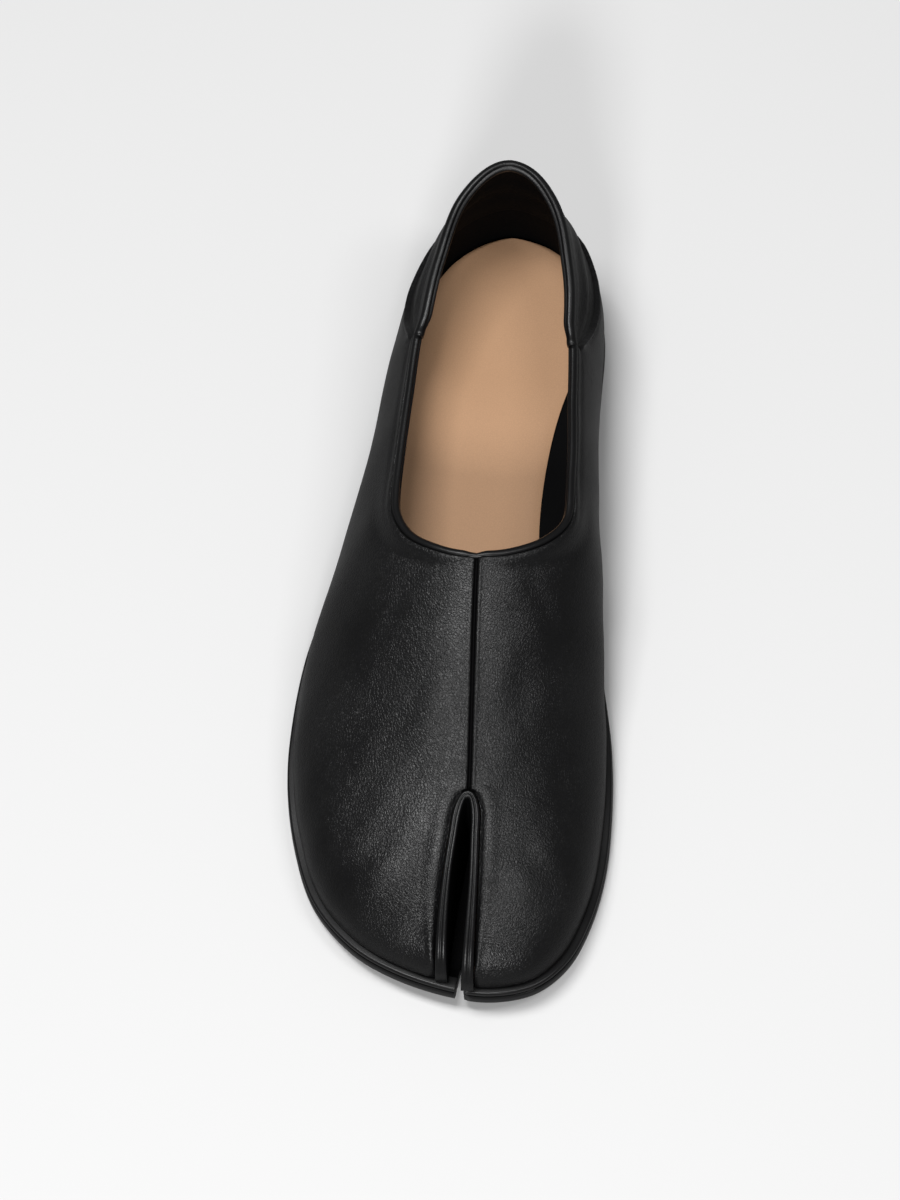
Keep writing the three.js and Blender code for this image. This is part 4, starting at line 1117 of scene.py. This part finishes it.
def cut_cleft(piece):
    y = APEX_Y - (1 - np.cos(np.linspace(0, 1, 33)[1:] * np.pi / 2)) * CLEFT_LENGTH
    side = np.column_stack([cleft_half(y) + 0.01, y])
    plan = [(float(cleft_middle(APEX_Y)), APEX_Y)]
    plan += [(float(cleft_middle(v)) + h, v) for h, v in side]
    plan += [(float(cleft_middle(v)) - h, v) for h, v in ((6.4, side[-1][1] - 6),)]
    plan.insert(len(plan) - 1, (plan[-1][0] + 12.8, plan[-1][1]))
    plan += [(float(cleft_middle(v)) - h, v) for h, v in side[::-1]]
    rings = np.array([[(x, v, z) for x, v in plan] for z in (-5, 40)])
    points, faces = sweep(rings)
    tool = make_piece("cleft_tool", points, faces, [EDGE], flat=True)
    modifier = piece.modifiers.new("cleft", "BOOLEAN")
    modifier.operation, modifier.solver, modifier.object = "DIFFERENCE", "EXACT", tool
    result = bpy.data.meshes.new_from_object(
        piece.evaluated_get(bpy.context.evaluated_depsgraph_get()))
    piece.modifiers.clear()
    if len(result.polygons) > 100:
        piece.data = result
    bpy.data.objects.remove(tool)


# Stitches along the rear edge of the vamp
def stitch_tree():
    tree = bpy.data.node_groups.new("stitches", "GeometryNodeTree")
    for kind, name, socket in (("INPUT", "Geometry", "Geometry"), ("INPUT", "Length", "Float"),
                               ("INPUT", "Spacing", "Float"), ("INPUT", "Thread", "Float"),
                               ("INPUT", "Material", "Material"), ("OUTPUT", "Geometry", "Geometry")):
        tree.interface.new_socket(name, in_out=kind, socket_type="NodeSocket" + socket)
    given = node(tree, "NodeGroupInput")
    path = node(tree, "GeometryNodeMeshToCurve", {"Mesh": given.outputs["Geometry"]})
    spaced = node(tree, "GeometryNodeResampleCurve", {"Curve": path.outputs[0],
                                                      "Length": given.outputs["Spacing"]},
                  mode="LENGTH")
    tangent = node(tree, "GeometryNodeInputTangent")
    turn = node(tree, "FunctionNodeAlignRotationToVector", {"Vector": tangent.outputs[0]}, axis="Z")
    body = node(tree, "GeometryNodeMeshCylinder", {"Vertices": 6, "Side Segments": 2,
                                                   "Radius": given.outputs["Thread"],
                                                   "Depth": given.outputs["Length"]})
    placed = node(tree, "GeometryNodeInstanceOnPoints", {"Points": spaced.outputs[0],
                                                         "Instance": body.outputs["Mesh"],
                                                         "Rotation": turn.outputs[0]})
    real = node(tree, "GeometryNodeRealizeInstances", {"Geometry": placed.outputs[0]})
    dressed = node(tree, "GeometryNodeSetMaterial", {"Geometry": real.outputs[0],
                                                     "Material": given.outputs["Material"]})
    node(tree, "NodeGroupOutput", {"Geometry": dressed.outputs[0]})
    return tree


def stitched(name, lines, length, spacing, thread):
    points = np.concatenate([shift(line) for line in lines])
    edges, start = [], 0
    for line in lines:
        edges += [(start + i, start + i + 1) for i in range(len(line) - 1)]
        start += len(line)
    mesh = bpy.data.meshes.new(name)
    mesh.from_pydata([tuple(p) for p in points], edges, [])
    piece = bpy.data.objects.new(name, mesh)
    bpy.context.scene.collection.objects.link(piece)
    tree = stitch_tree()
    modifier = piece.modifiers.new("stitches", "NODES")
    modifier.node_group = tree
    values = {"Length": length * MM, "Spacing": spacing * MM, "Thread": thread * MM,
              "Material": THREAD}
    for item in tree.interface.items_tree:
        if item.in_out == "INPUT" and item.name in values:
            modifier[item.identifier] = values[item.name]
    result = bpy.data.meshes.new_from_object(
        piece.evaluated_get(bpy.context.evaluated_depsgraph_get()))
    piece.modifiers.clear()
    piece.data = result
    return piece


def rear_edge_lines():
    lines = []
    row = LOW_ROWS + 1
    for half in halves.values():
        chosen = (half.edge == 3) & (half.base[:, -1, 1] > along_to_y(JOINT[half.side]) + 2)
        lines.append(half.outer[chosen, row] + half.normal[chosen, row] * 0.05)
    return lines


pieces = {
    upper_piece(): "upper",
    gusset_piece(): "toe_gusset",
    heel_piece(): "heel",
}
pieces.update(dict(collar_rolls()))
welt, outsole = sole_pieces()
pieces.update({welt: "welt", outsole: "outsole"})
board = insole_piece("insole_board", FIT, FIT + 3.1, 0.0, None, LINING_AND_SHADE, 0.0)
cut_cleft(board)
sock = insole_piece("tan_sock", FIT + 3.15, FIT + INSOLE_THICKNESS, 0.1, arch_inset, SOCK, 0.5)
cut_cleft(sock)
pieces[board] = "insole"
threads = stitched("rear_edge_stitches", rear_edge_lines(), 1.5, 2.3, 0.2)

for piece, replaced in pieces.items():
    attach(piece, "root")
    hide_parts(replaced)
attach(sock, "root")
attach(threads, "root")


# Floor, light and camera
def stage_floor():
    mesh = bpy.data.meshes.new("floor")
    mesh.from_pydata([(-3, -3, 0), (3, -3, 0), (3, 3, 0), (-3, 3, 0)], [], [(0, 1, 2, 3)])
    floor = bpy.data.objects.new("floor", mesh)
    bpy.context.scene.collection.objects.link(floor)
    paper = bpy.data.materials.new("matt_white_paper")
    paper.use_nodes = True
    surface = paper.node_tree.nodes["Principled BSDF"]
    tree = paper.node_tree
    # Painted reflection: glossy rays see the floor in mid grey instead of its white, so the leather
    # mirrors a dimmer floor
    ray = node(tree, "ShaderNodeLightPath")
    tone = node(tree, "ShaderNodeMix", data_type="RGBA")
    tone.inputs["A"].default_value = linear("#e6e6e6")
    tone.inputs["B"].default_value = linear("#808080")
    tree.links.new(ray.outputs["Is Glossy Ray"], tone.inputs["Factor"])
    tree.links.new(tone.outputs["Result"], surface.inputs["Base Color"])
    surface.inputs["Roughness"].default_value = 0.9
    surface.inputs["Specular IOR Level"].default_value = 0.15
    mesh.materials.append(paper)


def area_light(name, place, target, size, power, tint=(1, 1, 1)):
    data = bpy.data.lights.new(name, "AREA")
    data.shape, data.size, data.size_y = "RECTANGLE", size[0], size[1]
    data.energy, data.color = power, tint
    light = bpy.data.objects.new(name, data)
    light.location = place
    light.rotation_euler = (Vector(target) - Vector(place)).to_track_quat("-Z", "Y").to_euler()
    bpy.context.scene.collection.objects.link(light)


def stage_light():
    world = bpy.data.worlds.new("studio")
    world.use_nodes = True
    bpy.context.scene.world = world
    sky = world.node_tree.nodes["Background"]
    sky.inputs["Color"].default_value = (1, 1, 1, 1)
    sky.inputs["Strength"].default_value = 0.14
    area_light("ceiling_soft_box", (-0.36, 0.08, 1.8), (0, 0, 0), (0.5, 0.8), 20.5)
    area_light("front_soft_box", (-0.1, -1.35, 1.0), (0, -0.08, 0.03), (0.35, 0.3), 12.5)
    area_light("right_soft_box", (0.66, -0.15, 1.5), (0, -0.03, 0.03), (0.25, 0.55), 4.5)


def stage_camera():
    """Camera of the photograph, turned sideways so that the one shoe is in the middle."""
    turn, fall = math.radians(3.07), math.radians(63)
    sideways = math.atan(185 / 4743)
    forward = Vector((-math.sin(turn) * math.cos(fall), math.cos(turn) * math.cos(fall),
                      -math.sin(fall)))
    right = Vector((math.cos(turn), math.sin(turn), 0))
    up = right.cross(forward)
    ahead = forward * math.cos(sideways) - right * math.sin(sideways)
    data = bpy.data.cameras.new("camera")
    data.sensor_width, data.lens = 36.0, 142.3
    camera = bpy.data.objects.new("camera", data)
    camera.location = (0.0932, -0.6922, 1.3811)
    camera.rotation_mode = "QUATERNION"
    across = ahead.cross(up).normalized()
    turned = Matrix([[across[k], up[k], -ahead[k]] for k in range(3)])
    camera.rotation_quaternion = turned.to_quaternion()
    data.clip_start, data.clip_end = 0.1, 20
    bpy.context.scene.collection.objects.link(camera)
    bpy.context.scene.camera = camera


stage_floor()
stage_light()
stage_camera()
bpy.context.scene.view_settings.view_transform = "Standard"
